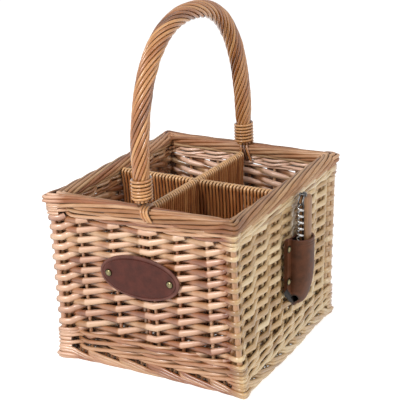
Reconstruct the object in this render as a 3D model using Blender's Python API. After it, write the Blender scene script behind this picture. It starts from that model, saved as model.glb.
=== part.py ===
"""Willow basket that carries four wine bottles, with a leather badge and a sheathed corkscrew.

Units are metres and +Z is up. The origin is on the table under the middle of the basket. The badge
is on the front (-Y), the corkscrew on the right side (+X), and the handle stands over X = 0.
"""

import math

import bmesh
import bpy
from mathutils import Matrix, Vector

# Basket outline, measured over the rim and over the foot
RIM_WIDTH = 0.250
RIM_DEPTH = 0.268
BASE_WIDTH = 0.239
BASE_DEPTH = 0.252
BASKET_HEIGHT = 0.211

# Clearances
FIT_GAP = 0.0003
MITRE_GAP = 0.0003
CUT_OVERRUN = 0.004

# Willow of the walls
STAKE_DIAMETER = 0.0050
POST_DIAMETER = 0.0052
STAKES_PER_SIDE = 5
WEAVER_THICKNESS = 0.0042
WEAVE_ROWS = 16
WEAVE_EASE = 0.0002
BAY_JOIN_LENGTH = 0.0050
PAIR_SPACING = 0.0090
POST_INSET = 0.0002
CORNER_SWELL = 0.0012
ROD_BACK_SHARE = 0.92
ROD_FACE_SHARE = 0.46

# Borders and walings that ring the basket
RIM_HEIGHT = 0.0150
RIM_OVERHANG = 0.0030
RIM_ROD_COUNT = 3
TOP_WALING_HEIGHT = 0.0110
TOP_WALING_ROD_COUNT = 2
BOTTOM_WALING_HEIGHT = 0.0240
BOTTOM_WALING_ROD_COUNT = 4
WALING_OVERHANG = 0.0012
WALING_WEB = 0.0050
FOOT_HEIGHT = 0.0120
FOOT_ROD_COUNT = 2
GROOVE_DEPTH = 0.0016
RIM_CORNER_RADIUS = 0.0052
SHARP_CORNER_RADIUS = 0.0008
RING_CORNER_STEPS = 2
CREST_SHARES = (0.30, 0.72)

# Woven base
BASE_THICKNESS = 0.0110
BASE_ROD_PITCH = 0.0112
BASE_ROD_RELIEF = 0.0030
BASE_FLAT_STEPS = 2
BASE_CORNER_CUT = 0.0020

# Dividers, hung from the rim's top
DIVIDER_DROP = 0.0050
CROSS_DIVIDER_DROP = 0.0015
DIVIDER_ROD_PITCH = 0.0060
DIVIDER_THICKNESS = 0.0046
DIVIDER_GROOVE = 0.0016
DIVIDER_RAIL_DIAMETER = 0.0080

# Handle: heights above the rim, and how far its feet stand inside the middle of the wall
HANDLE_RISE = 0.2048
HANDLE_STRAIGHT = 0.0320
HANDLE_INSET = 0.0048
HANDLE_CURVE_POWER = 2.4
HANDLE_DIAMETER = 0.0216
HANDLE_RODS = 9
HANDLE_ROD_RELIEF = 0.0016
HANDLE_LAY = 0.1550
HANDLE_STEPS = 40
CORE_DIAMETER = 0.0092
CORE_LEG_DIAMETER = 0.0050
CORE_CLEARANCE = 0.0005
CORE_SIDES = 6

# Cane binding round each foot of the handle
BINDING_TURNS = 6.5
BINDING_PITCH = 0.0040
BINDING_WIDTH = 0.0034
BINDING_THICKNESS = 0.0019
BINDING_POINTS_PER_TURN = 12
BINDING_SECTION_SHARES = ((-0.5, -0.3), (-0.5, 0.3), (0.1, 0.5), (0.5, 0.25), (0.5, -0.25), (0.1, -0.5))

# Rods lapped over the rim under each foot of the handle
SADDLE_WIDTH = 0.0125
SADDLE_THICKNESS = 0.0034
SADDLE_GROOVE = 0.0010
SADDLE_LEAN = 0.0090
SADDLE_OVERLAP = 0.0040
SADDLE_RODS = 3
SADDLE_MIDDLE_LEAN_SHARE = 0.6
SADDLE_TOP_LEAN_SHARE = 0.3

# Leather badge
BADGE_WIDTH = 0.1060
BADGE_HEIGHT = 0.0525
BADGE_THICKNESS = 0.0028
BADGE_EDGE_THICKNESS = 0.0014
BADGE_BORDER = 0.0030
BADGE_CENTRE_X = -0.0033
BADGE_CENTRE_SHARE = 0.5948
BADGE_RIVET_SPACING = 0.0820
BADGE_SEGMENTS = 32

# Brass dome rivets
RIVET_DIAMETER = 0.0078
RIVET_HEIGHT = 0.0022
RIVET_SEGMENTS = 12
RIVET_DOME_SHARES = ((1.0, 0.0), (1.0, 0.22), (0.84, 0.62), (0.52, 0.9))

# Leather sheath, measured along the wall (width), out of it (depth) and up it. The heights of the
# sheath and the corkscrew count from a level this far below the rim's top.
SHEATH_LEVEL_DROP = 0.2110
SHEATH_JUNCTION_Y = -0.0035
SHEATH_FLANGE_WIDTH = 0.0100
SHEATH_WIDTH = 0.0340
SHEATH_DEPTH = 0.0195
SHEATH_LEATHER = 0.0022
SHEATH_MOUTH_Z = 0.1478
SHEATH_MOUTH_DROP = 0.0045
SHEATH_HEEL_Z = 0.0790
SHEATH_TIP_Z = 0.0590
SHEATH_TIP_WIDTH = 0.0145
SHEATH_TIP_DEPTH = 0.0120
SHEATH_RIVET_Z = 0.0966
SHEATH_RIVET_SPACING = 0.0409
SHEATH_LEVELS = 8
SHEATH_TAPER_START_SHARE = 0.62
SHEATH_BULGE_POWER = 2.6
SHEATH_ARC_POINTS = 8
SHEATH_BACK_POINT_SHARE = 0.5
POCKET_CORNER_SHARE = 0.35
POCKET_SEAM_SHARE = 0.12
POCKET_SEAM_INSET_SHARE = 1.4

# Corkscrew, in the frame of the sheath
SCREW_CENTRE_OUT = 0.0088
GRIP_LOW_Z = 0.0905
GRIP_HIGH_Z = 0.1920
GRIP_START = 0.0125
GRIP_DEPTH = 0.0130
GRIP_THICKNESS = 0.0110
SPINE_THICKNESS = 0.0028
GRIP_BEVEL = 0.0012
GRIP_SHOULDER_SHARE = 0.5
PIVOT_ALONG = 0.0165
PIVOT_Z = 0.1990
PIVOT_DIAMETER = 0.0026
PIVOT_HEAD_DIAMETER = 0.0042
PIVOT_HEAD_THICKNESS = 0.0008
HEAD_RADIUS = 0.0044
YOKE_ARM_THICKNESS = 0.0016
YOKE_ARM_WIDTH = 0.0050
YOKE_BOSS_HEIGHT = 0.0060
YOKE_INNER_SHARE = 0.2
WORM_ALONG = 0.0062
WORM_TOP_Z = 0.1852
WORM_TIP_Z = 0.1490
WORM_DIAMETER = 0.0080
WORM_WIRE = 0.0023
WORM_PITCH = 0.0076
WORM_POINTS_PER_TURN = 10
WORM_TIP_WIRE_SHARE = 0.25
WORM_TIP_COIL_SHARE = 0.55
WORM_SIDES = 6
PIN_SEGMENTS = 12
ARC_STEPS = 8

WALL_HALF = STAKE_DIAMETER / 2 + FIT_GAP + WEAVE_EASE + WEAVER_THICKNESS
CREST_OFFSET = WALL_HALF - WEAVER_THICKNESS / 2
FOOT_TOP = FOOT_HEIGHT
DIVIDER_TOP = BASKET_HEIGHT - DIVIDER_DROP
HANDLE_TOP = BASKET_HEIGHT + HANDLE_RISE
HANDLE_SPRING = BASKET_HEIGHT + HANDLE_STRAIGHT
BADGE_CENTRE_Z = BASKET_HEIGHT * BADGE_CENTRE_SHARE
SHEATH_LEVEL = BASKET_HEIGHT - SHEATH_LEVEL_DROP
BOTTOM_WALING_LOW = FOOT_TOP + FIT_GAP
BOTTOM_WALING_HIGH = BOTTOM_WALING_LOW + BOTTOM_WALING_HEIGHT
RIM_LOW = BASKET_HEIGHT - RIM_HEIGHT
TOP_WALING_HIGH = RIM_LOW - FIT_GAP
TOP_WALING_LOW = TOP_WALING_HIGH - TOP_WALING_HEIGHT
WEAVE_LOW = BOTTOM_WALING_HIGH + FIT_GAP
WEAVE_HIGH = TOP_WALING_LOW - FIT_GAP
STAKE_LOW = BOTTOM_WALING_LOW + WALING_WEB + FIT_GAP
STAKE_HIGH = TOP_WALING_HIGH - WALING_WEB - FIT_GAP
BAYS = STAKES_PER_SIDE + 1
SIDE_NAMES = ("front", "right", "back", "left")
SIDE_LEAN = math.atan2((RIM_WIDTH - BASE_WIDTH) / 2, BASKET_HEIGHT)
FRONT_LEAN = math.atan2((RIM_DEPTH - BASE_DEPTH) / 2, BASKET_HEIGHT)


def linear(channel):
    """Turn one sRGB channel into a linear one."""
    return channel / 12.92 if channel <= 0.04045 else ((channel + 0.055) / 1.055) ** 2.4


def material(name, hex_colour, roughness, metallic=0.0):
    """A plain material of one colour."""
    channels = [int(hex_colour[i:i + 2], 16) / 255 for i in (0, 2, 4)]
    colour = [linear(channel) for channel in channels] + [1.0]
    made = bpy.data.materials.new(name)
    made.use_nodes = True
    made.diffuse_color = colour
    shader = made.node_tree.nodes["Principled BSDF"]
    shader.inputs["Base Color"].default_value = colour
    shader.inputs["Roughness"].default_value = roughness
    shader.inputs["Metallic"].default_value = metallic
    return made


def add_object(name, mesh, surface, parent=None):
    """Put a mesh into the scene as one sub-part."""
    if not mesh.materials:
        mesh.materials.append(surface)
    made = bpy.data.objects.new(name, mesh)
    made.parent = parent
    bpy.context.scene.collection.objects.link(made)
    return made


def add_empty(name, location, rotation, parent=None):
    """An empty that carries the sub-parts built in its own frame."""
    made = bpy.data.objects.new(name, None)
    made.location = location
    made.rotation_euler = rotation
    made.parent = parent
    bpy.context.scene.collection.objects.link(made)
    return made


def finish_mesh(bm, name, smooth_angle=None):
    """Turn the faces outwards and hand the bmesh over as a mesh."""
    bmesh.ops.recalc_face_normals(bm, faces=bm.faces)
    mesh = bpy.data.meshes.new(name)
    bm.to_mesh(mesh)
    bm.free()
    if smooth_angle is not None:
        mesh.shade_smooth()
        mesh.set_sharp_from_angle(angle=smooth_angle)
    return mesh


def bridge(bm, sections, closed_path=False):
    """Join equal closed sections into a tube, with a cap at each end unless the path is closed."""
    count = len(sections[0])
    pairs = list(zip(sections, sections[1:]))
    if closed_path:
        pairs.append((sections[-1], sections[0]))
    for one, two in pairs:
        for i in range(count):
            j = (i + 1) % count
            bm.faces.new((one[i], one[j], two[j], two[i]))
    if not closed_path:
        bm.faces.new(sections[0])
        bm.faces.new(sections[-1])


def loft(name, rings, closed_path=False, smooth_angle=None):
    """A closed solid through rings of points."""
    bm = bmesh.new()
    bridge(bm, [[bm.verts.new(point) for point in ring] for ring in rings], closed_path)
    return finish_mesh(bm, name, smooth_angle)


def cut_away(target, cutter):
    """Take the shape of a hidden cutter out of a sub-part."""
    cutter.hide_render = True
    cutter.display_type = "WIRE"
    cut = target.modifiers.new("cut_" + cutter.name, "BOOLEAN")
    cut.operation = "DIFFERENCE"
    cut.solver = "EXACT"
    cut.object = cutter


def half_width(z):
    """Half the width between the middles of the side walls at a height."""
    outside = BASE_WIDTH + (RIM_WIDTH - BASE_WIDTH) * z / BASKET_HEIGHT
    return outside / 2 - RIM_OVERHANG - WALL_HALF


def half_depth(z):
    """Half the depth between the middles of the front and back walls at a height."""
    outside = BASE_DEPTH + (RIM_DEPTH - BASE_DEPTH) * z / BASKET_HEIGHT
    return outside / 2 - RIM_OVERHANG - WALL_HALF


def wall_reach(side, z):
    """Distance from the origin to the middle of a wall."""
    return half_depth(z) if side % 2 == 0 else half_width(z)


def wall_length(side, z):
    """Half the length of a wall between its corners."""
    return half_width(z) if side % 2 == 0 else half_depth(z)


def side_point(side, along, out, z):
    """A point in the frame of a wall before it is turned to its side."""
    return Vector((along, -(wall_reach(side, z) + out), z))


def side_turn(side):
    """The turn about Z that carries the front's frame to a side."""
    return side * math.pi / 2


def stake_along(side, stake, z):
    """Place of a stake along its wall; stakes 0 and BAYS are the corners."""
    return wall_length(side, z) * (2 * stake / BAYS - 1)


def crest_places(side, stake, z):
    """Places along the wall between which a weaver lies flat over a stake."""
    middle = stake_along(side, stake, z)
    if side % 2 == 0 and stake * 2 == BAYS:
        return [middle - PAIR_SPACING / 2, middle + PAIR_SPACING / 2]
    return [middle]


def weaver_section(side, along, out, z_low, z_high, faces_out):
    """Four corners of a weaver where it crosses a stake, narrower on the face that shows."""
    middle = (z_low + z_high) / 2
    half_row = (z_high - z_low) / 2
    shares = {True: ROD_FACE_SHARE, False: ROD_BACK_SHARE}
    corners = []
    for step, sign in ((1, -1), (1, 1), (-1, 1), (-1, -1)):
        reach = half_row * shares[(step > 0) == faces_out]
        place = along(step) if callable(along) else along
        offset = out(step) if callable(out) else out + step * WEAVER_THICKNESS / 2
        corners.append(side_point(side, place, offset, middle + sign * reach))
    return corners


def corner_section(side, end, z_low, z_high, faces_out):
    """End of a weaver on the mitre at a corner post; end is -1 or +1."""
    z = (z_low + z_high) / 2
    post_at = wall_length(side, z) - POST_INSET
    if faces_out:
        centre = CREST_OFFSET + POST_INSET + CORNER_SWELL

        def diagonal(step):
            return centre + step * WEAVER_THICKNESS / 2

        def along(step):
            return end * (post_at + diagonal(step) - MITRE_GAP)

        def out(step):
            return diagonal(step) - POST_INSET
    else:
        centre = POST_DIAMETER / 2 + FIT_GAP + WEAVER_THICKNESS / 2

        def along(step):
            return end * (post_at - centre + step * WEAVER_THICKNESS / 2 - MITRE_GAP)

        def out(step):
            return -POST_INSET - centre + step * WEAVER_THICKNESS / 2
    return weaver_section(side, along, out, z_low, z_high, faces_out)


def woven_wall(side):
    """One wall of randing: each row passes before one stake and behind the next.

    Neighbouring rows do the opposite, and all rows are joined halfway along each bay, where they
    cross. The stakes and corner posts are pieces of their own that run through the openings.
    """
    bm = bmesh.new()
    levels = [WEAVE_LOW + (WEAVE_HIGH - WEAVE_LOW) * i / WEAVE_ROWS for i in range(WEAVE_ROWS + 1)]
    joins = []
    for bay in range(BAYS):
        for end in (-1, 1):
            column = []
            for z in levels:
                middle = (stake_along(side, bay, z) + stake_along(side, bay + 1, z)) / 2
                place = middle + end * BAY_JOIN_LENGTH / 2
                column.append([bm.verts.new(side_point(side, place, out, z))
                               for out in (WEAVER_THICKNESS / 2, -WEAVER_THICKNESS / 2)])
            joins.append(column)

    def join_section(column, row):
        return [column[row][0], column[row + 1][0], column[row + 1][1], column[row][1]]

    def add_section(points):
        return [bm.verts.new(point) for point in points]

    for row in range(WEAVE_ROWS):
        z_low, z_high = levels[row], levels[row + 1]
        z = (z_low + z_high) / 2
        for stake in range(BAYS + 1):
            faces_out = (row + stake) % 2 == 0
            out = CREST_OFFSET if faces_out else -CREST_OFFSET
            run = []
            if stake > 0:
                run.append(join_section(joins[2 * stake - 1], row))
            if stake in (0, BAYS):
                end = -1 if stake == 0 else 1
                bend = []
                if faces_out:
                    place = end * (wall_length(side, z) - POST_INSET)
                    bend.append(add_section(
                        weaver_section(side, place, out, z_low, z_high, faces_out)))
                bend.append(add_section(corner_section(side, end, z_low, z_high, faces_out)))
                run += bend if end > 0 else bend[::-1]
            else:
                for place in crest_places(side, stake, z):
                    run.append(add_section(
                        weaver_section(side, place, out, z_low, z_high, faces_out)))
            if stake < BAYS:
                run.append(join_section(joins[2 * stake], row))
            for one, two in zip(run, run[1:]):
                for i in range(4):
                    j = (i + 1) % 4
                    bm.faces.new((one[i], one[j], two[j], two[i]))
            if stake == 0:
                bm.faces.new(run[0])
            if stake == BAYS:
                bm.faces.new(run[-1])
        for bay in range(BAYS):
            one = join_section(joins[2 * bay], row)
            two = join_section(joins[2 * bay + 1], row)
            bm.faces.new((one[0], one[1], two[1], two[0]))
            bm.faces.new((one[2], one[3], two[3], two[2]))
            if row == 0:
                bm.faces.new((one[3], one[0], two[0], two[3]))
            if row == WEAVE_ROWS - 1:
                bm.faces.new((one[1], one[2], two[2], two[1]))
    return finish_mesh(bm, SIDE_NAMES[side] + "_wall")


def add_walls(willow):
    """The four woven walls."""
    for side, name in enumerate(SIDE_NAMES):
        wall = add_object(name + "_wall_weave", woven_wall(side), willow)
        wall.rotation_euler.z = side_turn(side)


def turned_rod(name, length, diameter, sides):
    """A round rod that stands on its own origin."""
    bm = bmesh.new()
    bmesh.ops.create_cone(bm, cap_ends=True, segments=sides, radius1=diameter / 2,
                          radius2=diameter / 2, depth=length,
                          matrix=Matrix.Translation((0, 0, length / 2)))
    return finish_mesh(bm, name, math.radians(60))


def place_rod(name, start, end, diameter, sides, surface):
    """A rod between two points."""
    start, end = Vector(start), Vector(end)
    run = end - start
    rod = add_object(name, turned_rod(name, run.length, diameter, sides), surface)
    rod.location = start
    rod.rotation_mode = "QUATERNION"
    rod.rotation_quaternion = run.to_track_quat("Z", "Y")
    return rod


def stake_point(side, stake, z):
    """Centre of a stake at a height, in world coordinates."""
    along = stake_along(side, stake, z)
    if len(crest_places(side, stake, z)) == 2:
        along = crest_places(side, stake, z)[0]
    return Matrix.Rotation(side_turn(side), 3, "Z") @ side_point(side, along, 0, z)


def add_stakes(willow):
    """The upright stakes of the four walls."""
    for side, name in enumerate(SIDE_NAMES):
        for stake in range(1, BAYS):
            place_rod(f"{name}_stake_{stake}", stake_point(side, stake, STAKE_LOW),
                      stake_point(side, stake, STAKE_HIGH), STAKE_DIAMETER, 6, willow)


def add_corner_posts(willow):
    """The post inside each corner of the basket."""
    for side, name in enumerate(SIDE_NAMES):
        ends = []
        for z in (STAKE_LOW, STAKE_HIGH):
            along = -(wall_length(side, z) - POST_INSET)
            point = side_point(side, along, -POST_INSET, z)
            ends.append(Matrix.Rotation(side_turn(side), 3, "Z") @ point)
        place_rod(f"corner_post_{side + 1}", ends[0], ends[1], POST_DIAMETER, 8, willow)


def ring_points(out, z):
    """Points round the basket at an offset from the middle of its walls."""
    radius = max(RIM_CORNER_RADIUS - (WALL_HALF + RIM_OVERHANG - out), SHARP_CORNER_RADIUS)
    points = []
    for corner in range(4):
        middle = math.pi / 4 + corner * math.pi / 2
        sign_x = math.copysign(1, math.cos(middle))
        sign_y = math.copysign(1, math.sin(middle))
        for step in range(RING_CORNER_STEPS + 1):
            angle = (corner + step / RING_CORNER_STEPS) * math.pi / 2
            points.append(Vector((
                sign_x * (half_width(z) + out - radius) + radius * math.cos(angle),
                sign_y * (half_depth(z) + out - radius) + radius * math.sin(angle), z)))
    return points


def ring(name, profile):
    """A closed ring round the basket with a profile of (out, z) points."""
    lanes = [ring_points(out, z) for out, z in profile]
    return loft(name, [list(station) for station in zip(*lanes)], closed_path=True)


def rod_edge(out, z_low, z_high, rods):
    """Profile of rods laid on each other, from low to high; their crests lie at out."""
    groove = out - math.copysign(GROOVE_DEPTH, out)
    height = (z_high - z_low) / rods
    points = []
    for rod in range(rods):
        z = z_low + rod * height
        points.append((groove, z))
        points += [(out, z + share * height) for share in CREST_SHARES]
    points.append((groove, z_high))
    return points


def rod_bundle(z_low, z_high, outer, rods):
    """Profile of a solid border with rods on its outer and inner side."""
    return rod_edge(outer, z_low, z_high, rods) + rod_edge(-WALL_HALF, z_low, z_high, rods)[::-1]


def channel_profile(z_low, z_high, rods, opens_up):
    """Profile of a waling whose slot takes the ends of the stakes."""
    slot = STAKE_DIAMETER / 2 + FIT_GAP + WEAVE_EASE
    outer = rod_edge(WALL_HALF + WALING_OVERHANG, z_low, z_high, rods)
    inner = rod_edge(-WALL_HALF, z_low, z_high, rods)[::-1]
    if opens_up:
        floor = z_low + WALING_WEB
        return outer + [(slot, z_high), (slot, floor), (-slot, floor), (-slot, z_high)] + inner
    ceiling = z_high - WALING_WEB
    return outer + inner + [(-slot, z_low), (-slot, ceiling), (slot, ceiling), (slot, z_low)]


def add_rings(willow):
    """Foot border, the two walings and the rim; returns what the handle's legs pass through."""
    foot = rod_bundle(0, FOOT_TOP, WALL_HALF + RIM_OVERHANG, FOOT_ROD_COUNT)
    add_object("foot_border", ring("foot_border", foot), willow)
    low = channel_profile(BOTTOM_WALING_LOW, BOTTOM_WALING_HIGH, BOTTOM_WALING_ROD_COUNT, True)
    add_object("bottom_waling", ring("bottom_waling", low), willow)
    high = channel_profile(TOP_WALING_LOW, TOP_WALING_HIGH, TOP_WALING_ROD_COUNT, False)
    waling = add_object("top_waling", ring("top_waling", high), willow)
    rim = rod_bundle(RIM_LOW, BASKET_HEIGHT, WALL_HALF + RIM_OVERHANG, RIM_ROD_COUNT)
    rim = add_object("rim_border", ring("rim_border", rim), willow)
    return [waling, rim]


def add_base(willow):
    """The woven base: a panel ribbed by its rods, cut at the corners to clear the foot."""
    reach_x = half_width(0) - WALL_HALF - FIT_GAP
    reach_y = half_depth(0) - WALL_HALF - FIT_GAP
    rods = max(3, round(2 * reach_x / BASE_ROD_PITCH))
    # An odd number of rods puts one of them in the middle
    rods += 1 - rods % 2
    top = []
    for i in range(2 * rods + 1):
        x = reach_x * (1 - i / rods)
        top.append((x, BASE_THICKNESS - (BASE_ROD_RELIEF if i % 2 == 0 else 0)))
    # The middle of the underside is flat, level with the foot border that stands on the table
    under = [(x, BASE_THICKNESS - z) for i, (x, z) in enumerate(top)
             if abs(i - rods) >= BASE_FLAT_STEPS]
    outline = top + under[::-1]
    bm = bmesh.new()
    sections = [[bm.verts.new((x, y, z)) for x, z in outline] for y in (-reach_y, reach_y)]
    bridge(bm, sections)
    for sign_x in (-1, 1):
        for sign_y in (-1, 1):
            normal = Vector((sign_x, sign_y, 0))
            point = Vector((sign_x * (reach_x - BASE_CORNER_CUT), sign_y * reach_y, 0))
            everything = bm.verts[:] + bm.edges[:] + bm.faces[:]
            cut = bmesh.ops.bisect_plane(bm, geom=everything, plane_co=point, plane_no=normal,
                                         clear_outer=True)
            edges = [item for item in cut["geom_cut"] if isinstance(item, bmesh.types.BMEdge)]
            bmesh.ops.holes_fill(bm, edges=edges)
    add_object("base_panel", finish_mesh(bm, "base_panel"), willow)


def ribbed_panel(name, start, end, z_low, z_high):
    """A panel of upright rods; start and end give its ends at a height, as x or y."""
    rods = max(2, round((end(z_high) - start(z_high)) / DIVIDER_ROD_PITCH))
    crest = DIVIDER_THICKNESS / 2
    groove = crest - DIVIDER_GROOVE
    edge = [(i / (2 * rods), crest if i % 2 else groove) for i in range(2 * rods + 1)]
    outline = edge + [(share, -out) for share, out in reversed(edge)]
    rings = []
    for z in (z_low, z_high):
        length = end(z) - start(z)
        rings.append([Vector((start(z) + share * length, out, z)) for share, out in outline])
    return loft(name, rings)


def add_dividers(willow):
    """The long divider under the handle and the cross divider in two halves beside it."""
    stand = BASE_THICKNESS + FIT_GAP
    rail = DIVIDER_RAIL_DIAMETER

    def long_end(z):
        return half_depth(z) - WALL_HALF - SADDLE_THICKNESS - 3 * FIT_GAP

    def cross_start(z):
        return rail / 2 + FIT_GAP

    def cross_end(z):
        return half_width(z) - WALL_HALF - 2 * FIT_GAP

    top = DIVIDER_TOP - rail - FIT_GAP
    panel = ribbed_panel("long_divider", lambda z: -long_end(z), long_end, stand, top)
    add_object("long_divider_panel", panel, willow).rotation_euler.z = math.pi / 2
    z = DIVIDER_TOP - rail / 2
    reach = long_end(z - rail / 2)
    place_rod("long_divider_rail", (0, -reach, z), (0, reach, z), rail, 8, willow)
    top -= CROSS_DIVIDER_DROP
    z -= CROSS_DIVIDER_DROP
    reach = cross_end(z - rail / 2)
    for name, turn, sign in (("right", 0, 1), ("left", math.pi, -1)):
        panel = ribbed_panel("cross_divider_" + name, cross_start, cross_end, stand, top)
        add_object(f"cross_divider_{name}_panel", panel, willow).rotation_euler.z = turn
        place_rod(f"cross_divider_{name}_rail", (sign * cross_start(z), 0, z),
                  (sign * reach, 0, z), rail, 8, willow)


def resample(points, count):
    """Points at even steps along a path."""
    lengths = [0.0]
    for one, two in zip(points, points[1:]):
        lengths.append(lengths[-1] + (two - one).length)
    result = []
    spot = 0
    for i in range(count + 1):
        goal = lengths[-1] * i / count
        while spot < len(points) - 2 and lengths[spot + 1] < goal:
            spot += 1
        part = (goal - lengths[spot]) / (lengths[spot + 1] - lengths[spot])
        result.append(points[spot].lerp(points[spot + 1], part))
    return result


def handle_path():
    """Centre line of the handle from its front foot over the top to its back foot."""
    foot = BASKET_HEIGHT + SADDLE_THICKNESS + 2 * FIT_GAP
    half_span = half_depth(BASKET_HEIGHT) - HANDLE_INSET
    rise = HANDLE_TOP - HANDLE_DIAMETER / 2 - HANDLE_SPRING
    power = 2 / HANDLE_CURVE_POWER
    fine = 8 * HANDLE_STEPS
    arch = []
    for i in range(fine + 1):
        angle = math.pi * i / fine
        y = -half_span * math.copysign(abs(math.cos(angle)) ** power, math.cos(angle))
        arch.append(Vector((0, y, HANDLE_SPRING + rise * abs(math.sin(angle)) ** power)))
    ends = [Vector((0, side * half_span, foot)) for side in (-1, 1)]
    return resample([ends[0]] + arch + [ends[1]], HANDLE_STEPS)


def tangents(path):
    """Unit direction at each point of a path."""
    count = len(path)
    return [(path[min(i + 1, count - 1)] - path[max(i - 1, 0)]).normalized()
            for i in range(count)]


def swept_rings(path, section):
    """Rings of a section round a path near the plane X = 0; section gives (x, normal) pairs."""
    across = Vector((1, 0, 0))
    rings = []
    for i, (point, direction) in enumerate(zip(path, tangents(path))):
        normal = direction.cross(across).normalized()
        rings.append([point + across * x + normal * n for x, n in section(i)])
    return rings


def circle_section(radius, sides):
    """Points of a circle as (x, normal) pairs."""
    angles = [2 * math.pi * i / sides for i in range(sides)]
    return [(radius * math.cos(a), radius * math.sin(a)) for a in angles]


def core_leg(side, end):
    """Lower part of the bow inside the basket, from the middle of the wall to the handle."""
    turn = Matrix.Rotation(side_turn(side), 3, "Z")
    points = []
    for z in (STAKE_LOW, STAKE_HIGH):
        points.append(turn @ side_point(side, PAIR_SPACING / 2, 0, z))
    bend = (RIM_LOW + BASKET_HEIGHT) / 2
    points.append(points[-1].lerp(end, (bend - STAKE_HIGH) / (end.z - STAKE_HIGH)))
    return points


def add_handle(willow, cane, passed):
    """The bow, its roped rods, the rods lapped over the rim and the cane bindings."""
    path = handle_path()
    crest = HANDLE_DIAMETER / 2
    twist = 2 * math.pi / HANDLE_LAY
    step_length = (path[1] - path[0]).length
    sides = 2 * HANDLE_RODS

    def roped(i):
        section = []
        for j in range(sides):
            angle = 2 * math.pi * j / sides + twist * step_length * i
            radius = crest if j % 2 == 0 else crest - HANDLE_ROD_RELIEF
            section.append((radius * math.cos(angle), radius * math.sin(angle)))
        return section

    bore = circle_section(CORE_DIAMETER / 2 + CORE_CLEARANCE, CORE_SIDES)
    add_object("handle_roping", tube_mesh("handle_roping", swept_rings(path, roped),
                                          swept_rings(path, lambda i: bore)), willow)

    front_leg = core_leg(0, path[0])
    back_leg = core_leg(2, path[-1])
    thick = circle_section(CORE_DIAMETER / 2, CORE_SIDES)
    thin = circle_section(CORE_LEG_DIAMETER / 2, CORE_SIDES)
    whole = front_leg + path + back_leg[::-1]
    legs = len(front_leg)

    def core(i):
        return thick if legs < i < len(whole) - legs - 1 else thin

    add_object("handle_bow", loft("handle_bow", swept_rings(whole, core)), willow)
    for side, name, leg, foot in ((0, "front", front_leg, path[0]), (2, "back", back_leg, path[-1])):
        saddle = add_saddle(name, side, foot, willow)
        above = foot + (foot - leg[-1]).normalized() * CUT_OVERRUN
        line = [leg[0], leg[1], leg[2], above]
        hole = circle_section(CORE_LEG_DIAMETER / 2 + CORE_CLEARANCE, 8)
        cutter = add_object(name + "_leg_cutter",
                            loft("cutter", swept_rings(line, lambda i: hole)), willow)
        for target in passed + [saddle]:
            cut_away(target, cutter)
        add_binding(name, foot, cane)


def close_end(bm, outer, inner):
    """Close the end of a tube between its outer loop and an inner loop of no more points."""
    count, fewer = len(outer), len(inner)
    start = min(range(count), key=lambda i: (outer[i].co - inner[0].co).length)
    for i in range(count):
        one, two = outer[(start + i) % count], outer[(start + i + 1) % count]
        near = inner[i * fewer // count]
        far = inner[(i + 1) * fewer // count % fewer]
        if near is far:
            bm.faces.new((one, two, near))
        else:
            bm.faces.new((one, two, far, near))


def tube_mesh(name, outer, inner):
    """A tube with open ends between two sets of rings that need not have equal counts."""
    bm = bmesh.new()
    skins = [[[bm.verts.new(point) for point in one] for one in rings] for rings in (outer, inner)]
    for skin in skins:
        for one, two in zip(skin, skin[1:]):
            for i in range(len(one)):
                j = (i + 1) % len(one)
                bm.faces.new((one[i], one[j], two[j], two[i]))
    for end in (0, -1):
        close_end(bm, skins[0][end], skins[1][end])
    return finish_mesh(bm, name)


def add_saddle(name, side, foot, willow):
    """Three rods lapped over the rim under a foot of the handle, leaning along the rim."""
    outer = WALL_HALF + RIM_OVERHANG
    turn = Matrix.Rotation(side_turn(side), 3, "Z")
    low = RIM_LOW - SADDLE_OVERLAP
    gap = FIT_GAP + SADDLE_THICKNESS / 2
    half = SADDLE_THICKNESS / 2
    middle = (low + BASKET_HEIGHT) / 2
    top = BASKET_HEIGHT + gap
    outside, inside = outer + gap, -WALL_HALF - gap
    stations = [(outside, low, 1), (outside, middle, SADDLE_MIDDLE_LEAN_SHARE),
                (outside, top, SADDLE_TOP_LEAN_SHARE), (0, top, 0),
                (inside, top, -SADDLE_TOP_LEAN_SHARE), (inside, middle, -SADDLE_MIDDLE_LEAN_SHARE),
                (inside, low, -1)]
    centre = []
    for out, z, share in stations:
        centre.append(turn @ side_point(side, share * SADDLE_LEAN, out, z))
    across = turn @ Vector((1, 0, 0))
    crest = [(i / SADDLE_RODS - 1, SADDLE_GROOVE if i % 2 == 0 else 0)
             for i in range(2 * SADDLE_RODS + 1)]
    rings = []
    for point, direction in zip(centre, tangents(centre)):
        normal = direction.cross(across).normalized()
        top = [point + across * (share * SADDLE_WIDTH / 2) - normal * (half - groove)
               for share, groove in crest]
        bottom = [point + across * (share * SADDLE_WIDTH / 2) + normal * half for share in (1, -1)]
        rings.append(top + bottom)
    return add_object(f"{name}_handle_lapping", loft(name + "_lapping", rings), willow)


def add_binding(name, foot, cane):
    """One unbroken strand of cane wound round a foot of the handle."""
    radius = HANDLE_DIAMETER / 2 + FIT_GAP + BINDING_THICKNESS / 2
    count = round(BINDING_TURNS * BINDING_POINTS_PER_TURN)
    start = BINDING_WIDTH / 2 + FIT_GAP
    rings = []
    for i in range(count + 1):
        angle = 2 * math.pi * i / BINDING_POINTS_PER_TURN
        ahead = Vector((math.cos(angle), math.sin(angle), 0))
        rise = start + BINDING_PITCH * i / BINDING_POINTS_PER_TURN
        centre = ahead * radius + Vector((0, 0, rise))
        rings.append([centre + ahead * (out * BINDING_THICKNESS) + Vector((0, 0, up * BINDING_WIDTH))
                      for out, up in BINDING_SECTION_SHARES])
    binding = add_object(f"{name}_handle_binding", loft(name + "_binding", rings), cane)
    binding.location = foot
    print(f"{name} binding: least gap to itself {(BINDING_PITCH - BINDING_WIDTH) * 1000:.2f} mm")


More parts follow.
